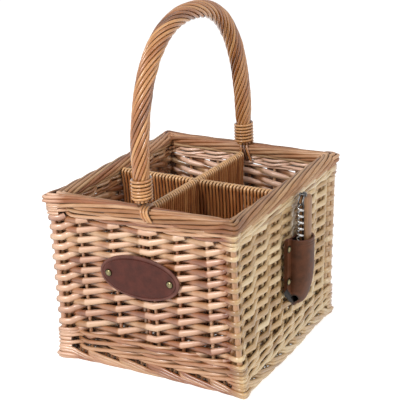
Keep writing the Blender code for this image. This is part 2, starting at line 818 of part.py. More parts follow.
def dome_rivet(name, surface, parent, location, rotation):
    """A dome-headed rivet that stands on its own origin, dome towards its local +Z."""
    bm = bmesh.new()
    radius = RIVET_DIAMETER / 2
    rings = []
    for reach, height in RIVET_DOME_SHARES:
        ring_now = []
        for i in range(RIVET_SEGMENTS):
            angle = 2 * math.pi * i / RIVET_SEGMENTS
            ring_now.append(bm.verts.new((reach * radius * math.cos(angle),
                                          reach * radius * math.sin(angle), height * RIVET_HEIGHT)))
        rings.append(ring_now)
    for one, two in zip(rings, rings[1:]):
        for i in range(RIVET_SEGMENTS):
            j = (i + 1) % RIVET_SEGMENTS
            bm.faces.new((one[i], one[j], two[j], two[i]))
    bm.faces.new(rings[0])
    top = bm.verts.new((0, 0, RIVET_HEIGHT))
    for i in range(RIVET_SEGMENTS):
        bm.faces.new((rings[-1][i], rings[-1][(i + 1) % RIVET_SEGMENTS], top))
    rivet = add_object(name, finish_mesh(bm, name, math.radians(50)), surface, parent)
    rivet.location = location
    rivet.rotation_euler = rotation


def add_badge(leather, brass):
    """Oval leather badge on the front wall, held by two dome rivets."""
    z = BADGE_CENTRE_Z
    out = WALL_HALF + FIT_GAP
    seat = add_empty("badge_seat", (BADGE_CENTRE_X, -(half_depth(z) + out), z), (FRONT_LEAN, 0, 0))
    half_x, half_z = BADGE_WIDTH / 2, BADGE_HEIGHT / 2
    levels = ((0, 0), (0, BADGE_EDGE_THICKNESS), (BADGE_BORDER, BADGE_THICKNESS))
    rings = []
    for inset, depth in levels:
        points = []
        for i in range(BADGE_SEGMENTS):
            angle = 2 * math.pi * i / BADGE_SEGMENTS
            points.append(Vector(((half_x - inset) * math.cos(angle), -depth,
                                  (half_z - inset) * math.sin(angle))))
        rings.append(points)
    add_object("badge_plate", loft("badge_plate", rings), leather, seat)
    for name, sign in (("left", -1), ("right", 1)):
        dome_rivet("badge_rivet_" + name, brass, seat,
                   (sign * BADGE_RIVET_SPACING / 2, -(BADGE_THICKNESS + FIT_GAP), 0),
                   (math.pi / 2, 0, 0))


def sheath_loop(width, depth, inset):
    """Outline of the sheath's leather as (out, along) points, seen from above.

    It runs along the back from the flange, round the folded side and over the bulge to the flange.
    An inset of one leather thickness gives the pocket.
    """
    back = inset
    edge = width - inset
    middle = width / 2
    bulge = depth - inset
    base = SHEATH_LEATHER if inset else 0
    first = 2 * inset if inset else -SHEATH_FLANGE_WIDTH
    points = [(back, first), (back, edge * SHEATH_BACK_POINT_SHARE)]
    for i in range(SHEATH_ARC_POINTS + 1):
        angle = math.pi * i / SHEATH_ARC_POINTS
        sway = math.copysign(abs(math.cos(angle)) ** (2 / SHEATH_BULGE_POWER), math.cos(angle))
        lift = abs(math.sin(angle)) ** (2 / SHEATH_BULGE_POWER)
        start = back if angle < math.pi / 2 else back + 2 * SHEATH_LEATHER - base
        along = middle + sway * (middle - inset)
        points.append((start + (bulge - start) * lift, along))
    if inset:
        points[-1] = (back + (bulge - back) * POCKET_CORNER_SHARE, inset)
        points.append((back + (bulge - back) * POCKET_SEAM_SHARE, inset * POCKET_SEAM_INSET_SHARE))
    else:
        points[-1] = (2 * SHEATH_LEATHER, 0)
        points.append((2 * SHEATH_LEATHER, -SHEATH_FLANGE_WIDTH))
    return points


def sheath_height(share, along):
    """Height of a point of the sheath; share runs from 0 at the mouth to 1 at the toe."""
    mouth = SHEATH_MOUTH_Z - SHEATH_MOUTH_DROP * max(along, 0) / SHEATH_WIDTH
    slope = (SHEATH_HEEL_Z - SHEATH_TIP_Z) / (SHEATH_FLANGE_WIDTH + SHEATH_TIP_WIDTH)
    toe = SHEATH_HEEL_Z - slope * (along + SHEATH_FLANGE_WIDTH)
    return mouth + (toe - mouth) * share


def sheath_rings(inset):
    """Rings of the sheath's outer or inner skin from mouth to toe."""
    rings = []
    for level in range(SHEATH_LEVELS + 1):
        share = level / SHEATH_LEVELS
        late = max(0.0, share - SHEATH_TAPER_START_SHARE) / (1 - SHEATH_TAPER_START_SHARE)
        narrow = 1 - math.sqrt(1 - late * late)
        width = SHEATH_WIDTH - (SHEATH_WIDTH - SHEATH_TIP_WIDTH) * narrow
        depth = SHEATH_DEPTH - (SHEATH_DEPTH - SHEATH_TIP_DEPTH) * late * late
        loop = sheath_loop(width, depth, inset)
        rings.append([Vector((out, along, sheath_height(share, along))) for out, along in loop])
    return rings


def add_sheath(leather, brass, seat):
    """Folded leather sheath riveted along its flange, open at the mouth and at the toe."""
    mesh = tube_mesh("corkscrew_sheath", sheath_rings(0), sheath_rings(SHEATH_LEATHER))
    add_object("corkscrew_sheath", mesh, leather, seat)
    for name, rise in (("lower", 0), ("upper", SHEATH_RIVET_SPACING)):
        dome_rivet("sheath_rivet_" + name, brass, seat,
                   (2 * SHEATH_LEATHER + FIT_GAP, -SHEATH_FLANGE_WIDTH / 2, SHEATH_RIVET_Z + rise),
                   (0, math.pi / 2, 0))


def flat_plate(name, outline, out_low, out_high, smooth_angle=None):
    """A plate with an outline of (along, z) points, between two distances out of the wall."""
    rings = [[Vector((out, along, z)) for along, z in outline] for out in (out_low, out_high)]
    return loft(name, rings, smooth_angle=smooth_angle)


def arc(centre, radius, start, end, steps=ARC_STEPS):
    """Points of an arc as (along, z) pairs; angles in degrees from +along towards +Z."""
    angles = [math.radians(start + (end - start) * i / steps) for i in range(steps + 1)]
    return [(centre[0] + radius * math.cos(a), centre[1] + radius * math.sin(a)) for a in angles]


def grip_outline(inset, top_z):
    """Side view of the grip: straight, with a rounded foot and shoulder."""
    low = GRIP_START + inset
    high = GRIP_START + GRIP_DEPTH - inset
    middle = (low + high) / 2
    radius = (high - low) / 2
    foot = arc((middle, GRIP_LOW_Z + radius), radius, 180, 360)
    shoulder = radius * GRIP_SHOULDER_SHARE
    return foot + [(high, top_z - shoulder), (high - shoulder, top_z), (low, top_z)]


def add_corkscrew(wood, steel, seat):
    """Folding corkscrew: two wood scales on a steel spine, and a worm that swings on a pin."""
    body = add_empty("corkscrew_body", (SCREW_CENTRE_OUT, 0, 0), (0, 0, 0), seat)
    spine = grip_outline(GRIP_BEVEL, GRIP_HIGH_Z)
    high = GRIP_START + GRIP_DEPTH - GRIP_BEVEL
    head = arc((PIVOT_ALONG, PIVOT_Z), HEAD_RADIUS, 0, 180)
    spine = spine[:-3] + [(high, GRIP_HIGH_Z)] + head + [(GRIP_START + GRIP_BEVEL, GRIP_HIGH_Z)]
    half = SPINE_THICKNESS / 2
    plate = add_object("corkscrew_spine", flat_plate("corkscrew_spine", spine, -half, half),
                       steel, body)
    reach = GRIP_THICKNESS / 2
    for name, sign in (("inner", -1), ("outer", 1)):
        rings = []
        for out, inset in ((half + FIT_GAP, 0), (reach - GRIP_BEVEL, 0), (reach, GRIP_BEVEL)):
            outline = grip_outline(inset, GRIP_HIGH_Z - inset)
            rings.append([Vector((sign * out, along, z)) for along, z in outline])
        add_object(f"corkscrew_scale_{name}", loft("scale_" + name, rings), wood, body)

    pin = add_empty("worm_pivot", (0, PIVOT_ALONG, PIVOT_Z), (0, 0, 0), body)
    bore = turned_rod("pivot_cutter", GRIP_THICKNESS + 2 * CUT_OVERRUN,
                      PIVOT_DIAMETER + 2 * FIT_GAP, PIN_SEGMENTS)
    cutter = add_object("pivot_cutter", bore, steel, pin)
    cutter.rotation_euler = (0, math.pi / 2, 0)
    cutter.location = (-GRIP_THICKNESS / 2 - CUT_OVERRUN, 0, 0)
    cut_away(plate, cutter)
    add_yoke(steel, pin, cutter)
    add_pivot_pin(steel, pin)
    add_worm(steel, pin)


def add_pivot_pin(steel, pin):
    """The pin with a low head at each end."""
    cheek = SPINE_THICKNESS / 2 + FIT_GAP + YOKE_ARM_THICKNESS + FIT_GAP
    radius = PIVOT_DIAMETER / 2
    head = PIVOT_HEAD_DIAMETER / 2
    stations = [(-cheek - PIVOT_HEAD_THICKNESS, head), (-cheek, head), (-cheek, radius),
                (cheek, radius), (cheek, head), (cheek + PIVOT_HEAD_THICKNESS, head)]
    rings = []
    for out, reach in stations:
        angles = [2 * math.pi * i / PIN_SEGMENTS for i in range(PIN_SEGMENTS)]
        rings.append([Vector((out, reach * math.cos(a), reach * math.sin(a))) for a in angles])
    add_object("corkscrew_pivot_pin", loft("corkscrew_pivot_pin", rings), steel, pin)


def add_yoke(steel, pin, cutter):
    """Forked arm from the pin to the worm: a curved plate slotted to straddle the spine."""
    reach = SPINE_THICKNESS / 2 + FIT_GAP + YOKE_ARM_THICKNESS
    root = (WORM_ALONG - PIVOT_ALONG, WORM_TOP_Z - PIVOT_Z)
    boss_high = root[1] + YOKE_BOSS_HEIGHT
    radius = HEAD_RADIUS
    inner = -radius * YOKE_INNER_SHARE
    outline = arc((0, 0), radius, -60, 120)
    outline += arc((0, boss_high), -root[0] + YOKE_ARM_WIDTH / 2, 110, 180)
    outline += [(root[0] - YOKE_ARM_WIDTH / 2, root[1]), (root[0] + YOKE_ARM_WIDTH / 2, root[1])]
    outline += arc((inner, boss_high), -root[0] - YOKE_ARM_WIDTH / 2 + inner, 180, 130)
    yoke = add_object("worm_yoke", flat_plate("worm_yoke", outline, -reach, reach), steel, pin)
    slot = SPINE_THICKNESS / 2 + FIT_GAP
    left = root[0] + YOKE_ARM_WIDTH / 2 + FIT_GAP
    right = radius + CUT_OVERRUN
    low = root[1] - CUT_OVERRUN
    top = radius * 2
    notch = [(left, low), (right, low), (right, top), (-radius, top),
             (root[0] - YOKE_ARM_WIDTH / 2 - CUT_OVERRUN, boss_high + YOKE_ARM_WIDTH),
             (root[0] - YOKE_ARM_WIDTH / 2 - CUT_OVERRUN, boss_high), (left, boss_high)]
    slotter = add_object("yoke_slot_cutter", flat_plate("yoke_slot", notch, -slot, slot), steel, pin)
    cut_away(yoke, slotter)
    cut_away(yoke, cutter)


def add_worm(steel, pin):
    """The worm: a helix of wire under the yoke, drawn in to a point at its tip."""
    height = WORM_TOP_Z - FIT_GAP - WORM_TIP_Z
    coil = (WORM_DIAMETER - WORM_WIRE) / 2
    turns = height / WORM_PITCH
    count = round(turns * WORM_POINTS_PER_TURN)
    rings = []
    for i in range(count + 1):
        angle = 2 * math.pi * i / WORM_POINTS_PER_TURN
        left = (count - i) / WORM_POINTS_PER_TURN
        lead = min(1, i / WORM_POINTS_PER_TURN)
        radius = WORM_WIRE / 2 * min(1, WORM_TIP_WIRE_SHARE + left)
        reach = coil * lead * min(1, WORM_TIP_COIL_SHARE + left)
        ahead = Vector((math.cos(angle), math.sin(angle), 0))
        centre = ahead * reach - Vector((0, 0, height * i / count))
        if i == 0:
            tilt = Vector((0, 0, 1))
        else:
            tilt = (Vector((0, 0, 1)) * coil * lead * 2 * math.pi
                    + Vector((-ahead.y, ahead.x, 0)) * WORM_PITCH).normalized()
        side = ahead if i else Vector((1, 0, 0))
        up = tilt if i else Vector((0, 1, 0))
        rings.append([centre + side * (radius * math.cos(a)) + up * (radius * math.sin(a))
                      for a in [2 * math.pi * k / WORM_SIDES for k in range(WORM_SIDES)]])
    worm = add_object("corkscrew_worm", loft("corkscrew_worm", rings), steel, pin)
    worm.location = (0, WORM_ALONG - PIVOT_ALONG, WORM_TOP_Z - FIT_GAP - PIVOT_Z)


def main():
    """Build the basket."""
    for old in list(bpy.data.objects):
        bpy.data.objects.remove(old, do_unlink=True)
    willow = material("buff_willow", "D9A57E", 0.55)
    handle_willow = material("handle_willow", "C9955E", 0.5)
    divider_willow = material("divider_willow", "B5764A", 0.6)
    leather = material("brown_leather", "5E3A33", 0.5)
    brass = material("antique_brass", "8F8560", 0.35, 1.0)
    steel = material("polished_steel", "C8C8C8", 0.2, 1.0)
    wood = material("scale_wood", "A87E58", 0.5)

    add_base(willow)
    passed = add_rings(willow)
    add_walls(willow)
    add_corner_posts(willow)
    add_stakes(willow)
    add_dividers(divider_willow)
    add_handle(handle_willow, handle_willow, passed)
    add_badge(leather, brass)
    out = WALL_HALF + FIT_GAP
    seat = add_empty("corkscrew_seat",
                     (half_width(SHEATH_LEVEL) + out, SHEATH_JUNCTION_Y, SHEATH_LEVEL),
                     (0, SIDE_LEAN, 0))
    add_sheath(leather, brass, seat)
    add_corkscrew(wood, steel, seat)


main()
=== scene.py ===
"""Dresses the willow bottle basket: woven walls, roped handle, dividers, leather and corkscrew.

Metres, +Z up, the frame of the packed model. The badge is on the front (-Y), the corkscrew on the
right side (+X). Run as a script; it is laid out as an add-on so that each group has its operator.
"""
import math
import random

import bmesh
import bpy
from bpy.props import FloatProperty, FloatVectorProperty, IntProperty, PointerProperty
from bpy.types import Operator, Panel, PropertyGroup
from mathutils import Matrix, Vector


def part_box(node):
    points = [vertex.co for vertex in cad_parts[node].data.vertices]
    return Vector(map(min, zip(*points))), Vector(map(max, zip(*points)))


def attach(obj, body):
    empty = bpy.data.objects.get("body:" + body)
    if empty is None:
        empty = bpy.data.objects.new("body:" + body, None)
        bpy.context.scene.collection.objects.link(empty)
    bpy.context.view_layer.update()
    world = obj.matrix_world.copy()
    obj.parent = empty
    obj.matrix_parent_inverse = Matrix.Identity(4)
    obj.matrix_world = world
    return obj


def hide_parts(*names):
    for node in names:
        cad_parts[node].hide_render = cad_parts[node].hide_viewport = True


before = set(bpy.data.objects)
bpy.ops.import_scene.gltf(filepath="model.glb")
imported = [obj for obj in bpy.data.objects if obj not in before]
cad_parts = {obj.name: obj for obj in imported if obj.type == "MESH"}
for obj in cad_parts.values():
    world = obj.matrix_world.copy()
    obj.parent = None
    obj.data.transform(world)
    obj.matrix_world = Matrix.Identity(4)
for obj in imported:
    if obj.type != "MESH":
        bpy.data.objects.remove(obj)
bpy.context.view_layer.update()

bl_info = {
    "name": "Willow Bottle Basket",
    "version": (1, 0, 0),
    "blender": (4, 5, 0),
    "location": "View3D > Sidebar > Basket",
    "description": "Dresses a woven bottle basket with willow, leather, brass and steel",
    "category": "Object",
}

# The basket's own sizes, read from the packed model where it has them: half the base's width and
# depth, half a wall's thickness, and how far the rim's outer face is from a wall's middle
RIM_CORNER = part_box("rim_border")[1]
HEIGHT = RIM_CORNER.z
BASE_HALF = (0.1195, 0.1260)
WALL_HALF = 0.0072
# The thin gap between a piece and its seat
FIT_GAP = 0.0003
RIM_REACH = 0.0102
FOOT_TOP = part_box("foot_border")[1].z
UPPER_WALING_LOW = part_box("top_waling")[0].z
RIM_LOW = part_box("rim_border")[0].z
# Four values each, for the corners front left, front right, back right and back left: how far the
# post stands out, its turn to the side's tone and its painted light, painted shade below nought; how
# far behind it the inner stake stands, with its own turn and its painted light, painted shade below
# nought; and how far the weave swells there, and how thick it is
POST_OUT = (0.0054, 0.0038, 0.0044, 0.0036)
POST_TINT = (0.1, 0.35, 0.9, 0.2)
POST_PAINTED_LIGHT = (0.6, -0.8, 0.3, 0.0)
INNER_BEHIND = (0.0064, 0.0098, 0.0064, 0.0064)
INNER_TINT = (0.4, 0.4, 0.9, 0.4)
INNER_PAINTED_LIGHT = (-0.6, -0.6, 0.3, -0.6)
CORNER_SWELL = (0.0036, 0.0022, 0.0014, 0.0016)
CORNER_THICK = (1.22, 0.94, 1.1, 1.0)
# How far from a corner a weaver begins to turn
CORNER_RUN = 0.0040
# How far the foot stands out to the left and to the right, how far to the front at the left corner,
# and up to which height at the back
SPLAY = (0.0050, 0.0068)
SPLAY_FORWARD = 0.0050
SPLAY_HEIGHT = 0.105
# How much higher the rim lies at the back
BACK_LIFT = 0.0030

# Places of the stakes along each wall as shares of half its length, and half the gap of a pair
STAKE_PLACES = (
    ((-0.755, 0), (-0.366, 0), (0.0445, 0.0052), (0.393, 0), (0.735, 0)),
    ((-0.745, 0), (-0.450, 0), (-0.170, 0), (0.071, 0), (0.324, 0), (0.581, 0), (0.847, 0)),
    ((-0.72, 0), (-0.36, 0), (0.0, 0.0048), (0.36, 0), (0.72, 0)),
    ((-0.78, 0), (-0.54, 0), (-0.27, 0), (0.0, 0), (0.26, 0), (0.52, 0), (0.77, 0)),
)
SIDE_NAMES = ("front", "right", "back", "left")

# How much of the right wall's tone a rod may have anywhere
OWN_TINT = 0.42
# Painted light on the inner side of each wall's weavers, and on the weavers at each corner; below
# nought it is painted shade
INSIDE_PAINTED_LIGHT = (0.0, 0.0, 3.0, -1.8)
CORNER_PAINTED_LIGHT = (1.0, -1.3, 0.2, -0.4)
# Height at which the lower waling begins
LOWER_WALING_LOW = 0.0136
# How far waling rods lie from the wall's middle, and a stroke as (place, out, lift) shares
WALING_CREST = 0.0056
WALE_STROKE = ((0, -1, 0.45), (0.3, -0.45, 0.2), (0.62, 0.55, -0.05), (1, 1, 0.0), (1.5, 1.06, 0.5),
               (2, 1, 1.0), (2.4, 0.4, 1.05), (2.72, -0.5, 0.8))
# A rim strand's way as (stakes passed, share of the reach, share of the height), and the rods in
# the rim and just under it as (out, z, diameter)
RIM_ROUTE = ((-0.35, 0.0, -0.15), (0.05, 0.72, -0.1), (0.4, 0.98, 0.03), (1.0, 1.0, 0.3),
             (1.6, 1.0, 0.6), (2.1, 0.95, 0.83), (2.6, 0.74, 0.97), (3.3, 0.32, 1.0),
             (4.0, -0.08, 1.0), (4.7, -0.45, 0.97), (5.3, -0.75, 0.88), (5.8, -0.9, 0.72),
             (6.3, -0.92, 0.52), (6.8, -0.85, 0.3), (7.2, -0.6, 0.16))
RIM_FILLERS = ((0.0022, 0.2008, 0.0076), (-0.0020, 0.2012, 0.0076), (0.0035, 0.1978, 0.0050),
               (-0.0028, 0.1980, 0.0050))
RIM_LINERS = ((-0.0030, 0.1884, 0.0036), (-0.0022, 0.1846, 0.0030))
# The ways of the two foot rods of a stake as (stakes passed, share of the reach, z)
FOOT_ROUTES = (
    ((-0.14, 0.1, 0.0150), (-0.02, 0.7, 0.0142), (0.12, 0.97, 0.0130), (0.5, 1, 0.0098),
     (1.0, 1.0, 0.0060), (1.45, 1.0, 0.0034), (1.9, 0.9, 0.0026), (2.3, 0.5, 0.0026),
     (2.7, 0.0, 0.0030)),
    ((-0.16, 0.0, 0.0112), (-0.03, 0.7, 0.0102), (0.1, 0.95, 0.0090), (0.5, 0.97, 0.0058),
     (0.9, 0.95, 0.0030), (1.2, 0.8, 0.0026), (1.6, 0.4, 0.0026), (2.0, 0.1, 0.0030)))
# The bow's radius, that of its legs inside the walls and their heights, and the binding's turns
BOW_RADIUS, LEG_RADIUS = 0.0062, 0.0025
LEG_HEIGHTS = (0.02, 0.08, 0.14, 0.19)
BINDING_TURNS = 6.4
# A rivet's dome as (share of the radius, share of the height)
DOME_PROFILE = ((1.0, 0.0), (1.08, 0.1), (1.06, 0.24), (0.94, 0.3), (0.86, 0.34), (0.74, 0.6),
                (0.58, 0.78), (0.4, 0.9), (0.2, 0.98))
# Places of the lamps, and of the camera as solved from the photograph, with its turns in degrees
KEY_PLACE, FILL_PLACE = (-0.3, -1.95, 1.5), (2.0, -0.3, 1.2)
CAMERA_PLACE = (0.6981, -1.1547, 0.6624)
CAMERA_TURNS = ((31.054, "Z"), (90 - 19.797, "X"), (-2.394, "Z"))


def linear(code):
    """Turn an sRGB hex colour into linear red, green and blue."""
    channels = [int(code[i:i + 2], 16) / 255 for i in (0, 2, 4)]
    return tuple(c / 12.92 if c <= 0.04045 else ((c + 0.055) / 1.055) ** 2.4 for c in channels)


def size(name, about, default, low=0.0, high=1.0):
    """A length that a user may change."""
    return FloatProperty(name=name, description=about, default=default, min=low, max=high,
                         precision=5, subtype="DISTANCE", unit="LENGTH")


def tint(name, about, code):
    """A colour that a user may change."""
    return FloatVectorProperty(name=name, description=about, default=linear(code), min=0, max=1,
                               size=3, subtype="COLOR")


class WillowSizes(PropertyGroup):
    """Sizes of the willow work."""
    stake: size("Stake", "Diameter of a stake", 0.0046)
    weaver_butt: size("Weaver butt", "Height of a weaver at its thick end", 0.0073)
    weaver_tip: size("Weaver tip", "Height of a weaver at its thin end", 0.0068)
    crest: size("Crest", "Distance of a weaver's middle from the wall's middle at a stake", 0.0043)
    inside: size("Inside", "The same where a weaver passes inside a corner post", 0.0020)
    first_level: size("First level", "Height of the lowest weavers between two stakes", 0.0377)
    level_pitch: size("Level pitch", "Mean rise of a weaver from one bay to the next", 0.0067)
    packing: FloatProperty(name="Packing", description="How much closer the levels lie at the top",
                           default=0.12)
    levels: IntProperty(name="Levels", description="Levels of weaving", default=22, min=2, max=60)
    sway: size("Sway", "How far a weaver sits lower in front of a stake, and higher behind", 0.0011)
    swelling: FloatProperty(name="Swelling", description="How much thicker a weaver shows at a stake",
                            default=0.2)
    waling_rod: size("Waling rod", "Diameter of a rod of the lower waling", 0.0050)
    upper_waling_rod: size("Upper waling rod", "Diameter of a rod of the upper waling", 0.0042)
    rim_rod: size("Rim rod", "Diameter of a rod of the rim", 0.0047)
    foot_rod: size("Foot rod", "Diameter of a rod of the foot border", 0.0052)
    base_rod: size("Base rod", "Diameter of a rod of the woven base", 0.0048)
    divider_rod: size("Divider rod", "Diameter of an upright rod of a divider", 0.0031)
    divider_pitch: size("Divider pitch", "Spacing of the divider's hairpins", 0.0045)
    rail: size("Rail", "Diameter of a divider's rail", 0.0048)


class HandleSizes(PropertyGroup):
    """Sizes of the roped handle."""
    rods: IntProperty(name="Rods", description="Rods laid round the bow", default=12, min=3, max=30)
    lay: size("Lay", "Length of handle in which a rod goes once round", 0.128)
    rod: size("Rod", "Diameter of a roping rod", 0.0042)
    width: size("Width", "Width of the roped handle", 0.0214)
    neck: size("Neck", "Width of the handle under its bindings", 0.0188)
    binding_rod: size("Binding rod", "Diameter of the skein wound round a foot", 0.0033)
    binding_pitch: size("Binding pitch", "Rise of one turn of the binding", 0.0040)


class LeatherSizes(PropertyGroup):
    """Sizes of the leather pieces."""
    thickness: size("Leather", "Thickness of the badge's leather", 0.0028)
    badge_height: size("Badge height", "Height of the oval badge", 0.0540)
    line_inset: size("Line inset", "Distance of the pressed line from the badge's edge", 0.0042)
    line_depth: size("Line depth", "Depth of a pressed line", 0.0008)


class FinishColours(PropertyGroup):
    """Colours of the finishes."""
    willow_dark: tint("Willow dark", "Darker buff willow", "783F1C")
    willow_mid: tint("Willow", "Middle tone of buff willow", "9B5F37")
    willow_pale: tint("Willow pale", "Paler buff willow", "C69872")
    # Painted warm light on the right wall, which takes these tones whole; other rods take a little at
    # random
    khaki_dark: tint("Side willow dark", "Darker willow of the right wall", "98744A")
    khaki_mid: tint("Side willow", "Middle tone of the right wall", "CAA674")
    khaki_pale: tint("Side willow pale", "Paler willow of the right wall", "E0C89E")
    # Painted highlight on the flank that a rod turns up behind a stake
    painted_highlight: tint("Painted highlight", "Flank that a rod turns up behind a stake", "F0C6AC")
    # Painted shade deep in the weave
    crevice_shade: tint("Crevice", "Varnish and shade deep in the weave", "35180A")
    handle_dark: tint("Handle dark", "Darker roping rods", "532C10")
    handle_mid: tint("Handle", "Middle tone of the roping", "A2622B")
    handle_pale: tint("Handle pale", "Paler roping rods", "CC945A")
    divider_dark: tint("Divider dark", "Darker divider rods", "643415")
    divider_mid: tint("Divider", "Middle tone of the dividers", "A4612F")
    divider_pale: tint("Divider pale", "Paler divider rods", "CC8E56")
    leather: tint("Leather", "Waxed brown leather of the badge", "54281F")
    leather_dark: tint("Leather dark", "Darker leather of the badge", "3F1C14")
    sheath: tint("Sheath", "Waxed brown leather of the sheath", "5E3620")
    sheath_dark: tint("Sheath dark", "Darker leather of the sheath", "42240F")
    leather_pale: tint("Leather pale", "Rubbed leather", "80584E")
    # Painted near-black shade inside a fold
    fold_shade: tint("Leather fold", "Leather in the dark of a fold", "17100D")
    band: tint("Band", "Paler skein bent over the dividers' rails", "CC9C68")
    brass: tint("Brass", "Antique brass", "928866")
    brass_dark: tint("Brass dark", "Tarnished brass", "5E5538")
    # Painted shadow ring round the foot of a rivet's dome
    painted_shadow: tint("Painted rim shadow", "Nearly black patina in a brass rim", "1E180E")
    steel: tint("Steel", "Polished steel", "B8B6B4")
    steel_dark: tint("Steel dark", "Dull patches of polished steel", "8A8480")
    steel_worn: tint("Worn steel", "Worn patches of satin steel", "35322F")
    wood: tint("Wood", "Wood of the corkscrew's scales", "99704C")
    floor: tint("Floor", "Studio floor", "F4F4F4")


class StageSettings(PropertyGroup):
    """Light and camera."""
    key: FloatProperty(name="Key light", description="Power of the key light", default=38, unit="POWER")
    fill: FloatProperty(name="Fill light", description="Power of the fill light", default=16,
                        unit="POWER")
    ambient: FloatProperty(name="Ambient", description="Strength of the even light", default=0.42)
    glow: FloatProperty(name="Floor glow", description="Light of the floor where it is seen",
                        default=0.62)
    lens: FloatProperty(name="Lens", description="Focal length", default=107.566, unit="CAMERA")


def connect(tree, inputs, values):
    """Link sockets to a node's inputs, and set plain values on them."""
    for name, value in values.items():
        socket = inputs[name]
        if isinstance(value, bpy.types.NodeSocket):
            tree.links.new(value, socket)
        else:
            socket.default_value = (*value, 1) if socket.type == "RGBA" else value


def add(tree, kind, inputs=None, **settings):
    """Add a node with its settings, and values or sockets at its inputs; returns its outputs."""
    made = tree.nodes.new(kind)
    for name, value in settings.items():
        setattr(made, name, value)
    connect(tree, made.inputs, inputs or {})
    return made.outputs


def ramp(tree, factor, places, colours):
    """A colour ramp through colours at places."""
    shade = add(tree, "ShaderNodeValToRGB", {"Fac": factor})["Color"]
    points = shade.node.color_ramp.elements
    while len(points) < len(places):
        points.new(0.5)
    for point, place, colour in zip(points, places, colours):
        point.position = place
        point.color = (*colour, 1)
    return shade


def new_material(name):
    """An empty material; returns it with its tree and its shader's inputs."""
    made = bpy.data.materials.new(name)
    made.use_nodes = True
    return made, made.node_tree, made.node_tree.nodes["Principled BSDF"].inputs


# Willow: a rod's fibre streaks are about 12 mm long and some nine lie round it, its patches of
# stain are about 55 mm long, and its tone moves both along the rod
STREAK_RATE, STREAK_SCALE, PATCH_RATE, TONE_SHIFT = 55.0, 1.5, 18.0, 37.0
# Where the dark, middle and pale tones stand on a ramp, and the dark and the full tone of the
# mottled leather and metals
TONE_PLACES, METAL_PLACES = (0.18, 0.5, 0.86), (0.3, 0.62)


def willow_finish(name, tones, side_tones=None, gloss=0.4, shade=(0.0, -0.8), coat=0.9):
    """Willow rods, boiled, peeled and varnished: streaked along the fibre, glossy on the crests.

    Each rod carries its tone, the distance along it and the place round it, so the streaks run with
    the rod. The sides of a rod that face the inside of the weave carry painted shade; shade holds
    where that begins and where it is full, as cosines from the rod's facing. A rod's painted light
    moves its tone and paints a highlight on its upward-facing part; side_tones are the right wall's
    tones, which a rod takes by its tint.
    """
    made, tree, inputs = new_material(name)
    colours = bpy.context.scene.basket_colours

    def read(attribute, kind="Fac"):
        return add(tree, "ShaderNodeAttribute", attribute_name=attribute)[kind]

    tone, along, light = read("rod_tone"), read("rod_along"), read("rod_painted_light")
    shift = add(tree, "ShaderNodeMath", {0: tone, 1: TONE_SHIFT}, operation="MULTIPLY")[0]
    run, blotch = [add(tree, "ShaderNodeMath", {0: along, 1: rate, 2: shift},
                       operation="MULTIPLY_ADD")[0] for rate in (STREAK_RATE, PATCH_RATE)]
    ring = add(tree, "ShaderNodeSeparateXYZ", {0: read("rod_ring", "Vector")})
    grain = add(tree, "ShaderNodeCombineXYZ", {0: ring[0], 1: ring[1], 2: run})[0]
    streaks = add(tree, "ShaderNodeTexNoise", {"Vector": grain, "Scale": STREAK_SCALE,
                                               "Detail": 5.0, "Roughness": 0.62})["Fac"]
    patches = add(tree, "ShaderNodeTexNoise", {"W": blotch, "Scale": 1.0, "Detail": 2.0},
                  noise_dimensions="1D")["Fac"]
    mix = -0.31
    # The rod's painted light also moves its tone: paler above nought, darker as painted shade below
    for part, weight in ((streaks, 0.62), (patches, 0.5), (tone, 0.62), (light, 0.13)):
        mix = add(tree, "ShaderNodeMath", {0: part, 1: weight, 2: mix},
                  operation="MULTIPLY_ADD")[0]
    colour = ramp(tree, mix, TONE_PLACES, tones)
    if side_tones:
        other = ramp(tree, mix, TONE_PLACES, side_tones)
        colour = add(tree, "ShaderNodeMix", {0: read("rod_tint"), 6: colour, 7: other},
                     data_type="RGBA")[2]
    # Painted highlight, nearly white, on the upward-facing part of the flank that a rod turns up behind
    # each stake, as far as the rod's painted light goes
    normal = add(tree, "ShaderNodeNewGeometry")["Normal"]
    height = add(tree, "ShaderNodeSeparateXYZ", {0: normal})["Z"]
    upper = add(tree, "ShaderNodeMapRange", {"Value": height, "From Min": -0.6, "From Max": 0.5,
                                             "To Max": 0.5})[0]
    painted_highlight = add(tree, "ShaderNodeMath", {0: light, 1: upper}, operation="MULTIPLY",
                   use_clamp=True)[0]
    # Painted shade on the sides of a rod that face into the weave
    facing = add(tree, "ShaderNodeVectorMath", {0: normal, 1: read("rod_face", "Vector")},
                 operation="DOT_PRODUCT")["Value"]
    painted_shade = add(tree, "ShaderNodeMapRange", {"Value": facing, "From Min": shade[0],
                                              "From Max": shade[1], "To Max": 0.9})[0]
    for share, over in ((painted_highlight, colours.painted_highlight), (painted_shade, colours.crevice_shade)):
        colour = add(tree, "ShaderNodeMix", {0: share, 6: colour, 7: over}, data_type="RGBA")[2]
    rough = add(tree, "ShaderNodeMapRange", {"Value": streaks, "To Min": gloss - 0.1,
                                             "To Max": gloss + 0.2})[0]
    bump = add(tree, "ShaderNodeBump", {"Height": streaks, "Strength": 0.35,
                                        "Distance": 0.0006})[0]
    connect(tree, inputs, {"Base Color": colour, "Roughness": rough, "Normal": bump,
                           "Coat Weight": coat, "Coat Roughness": 0.24})
    return made


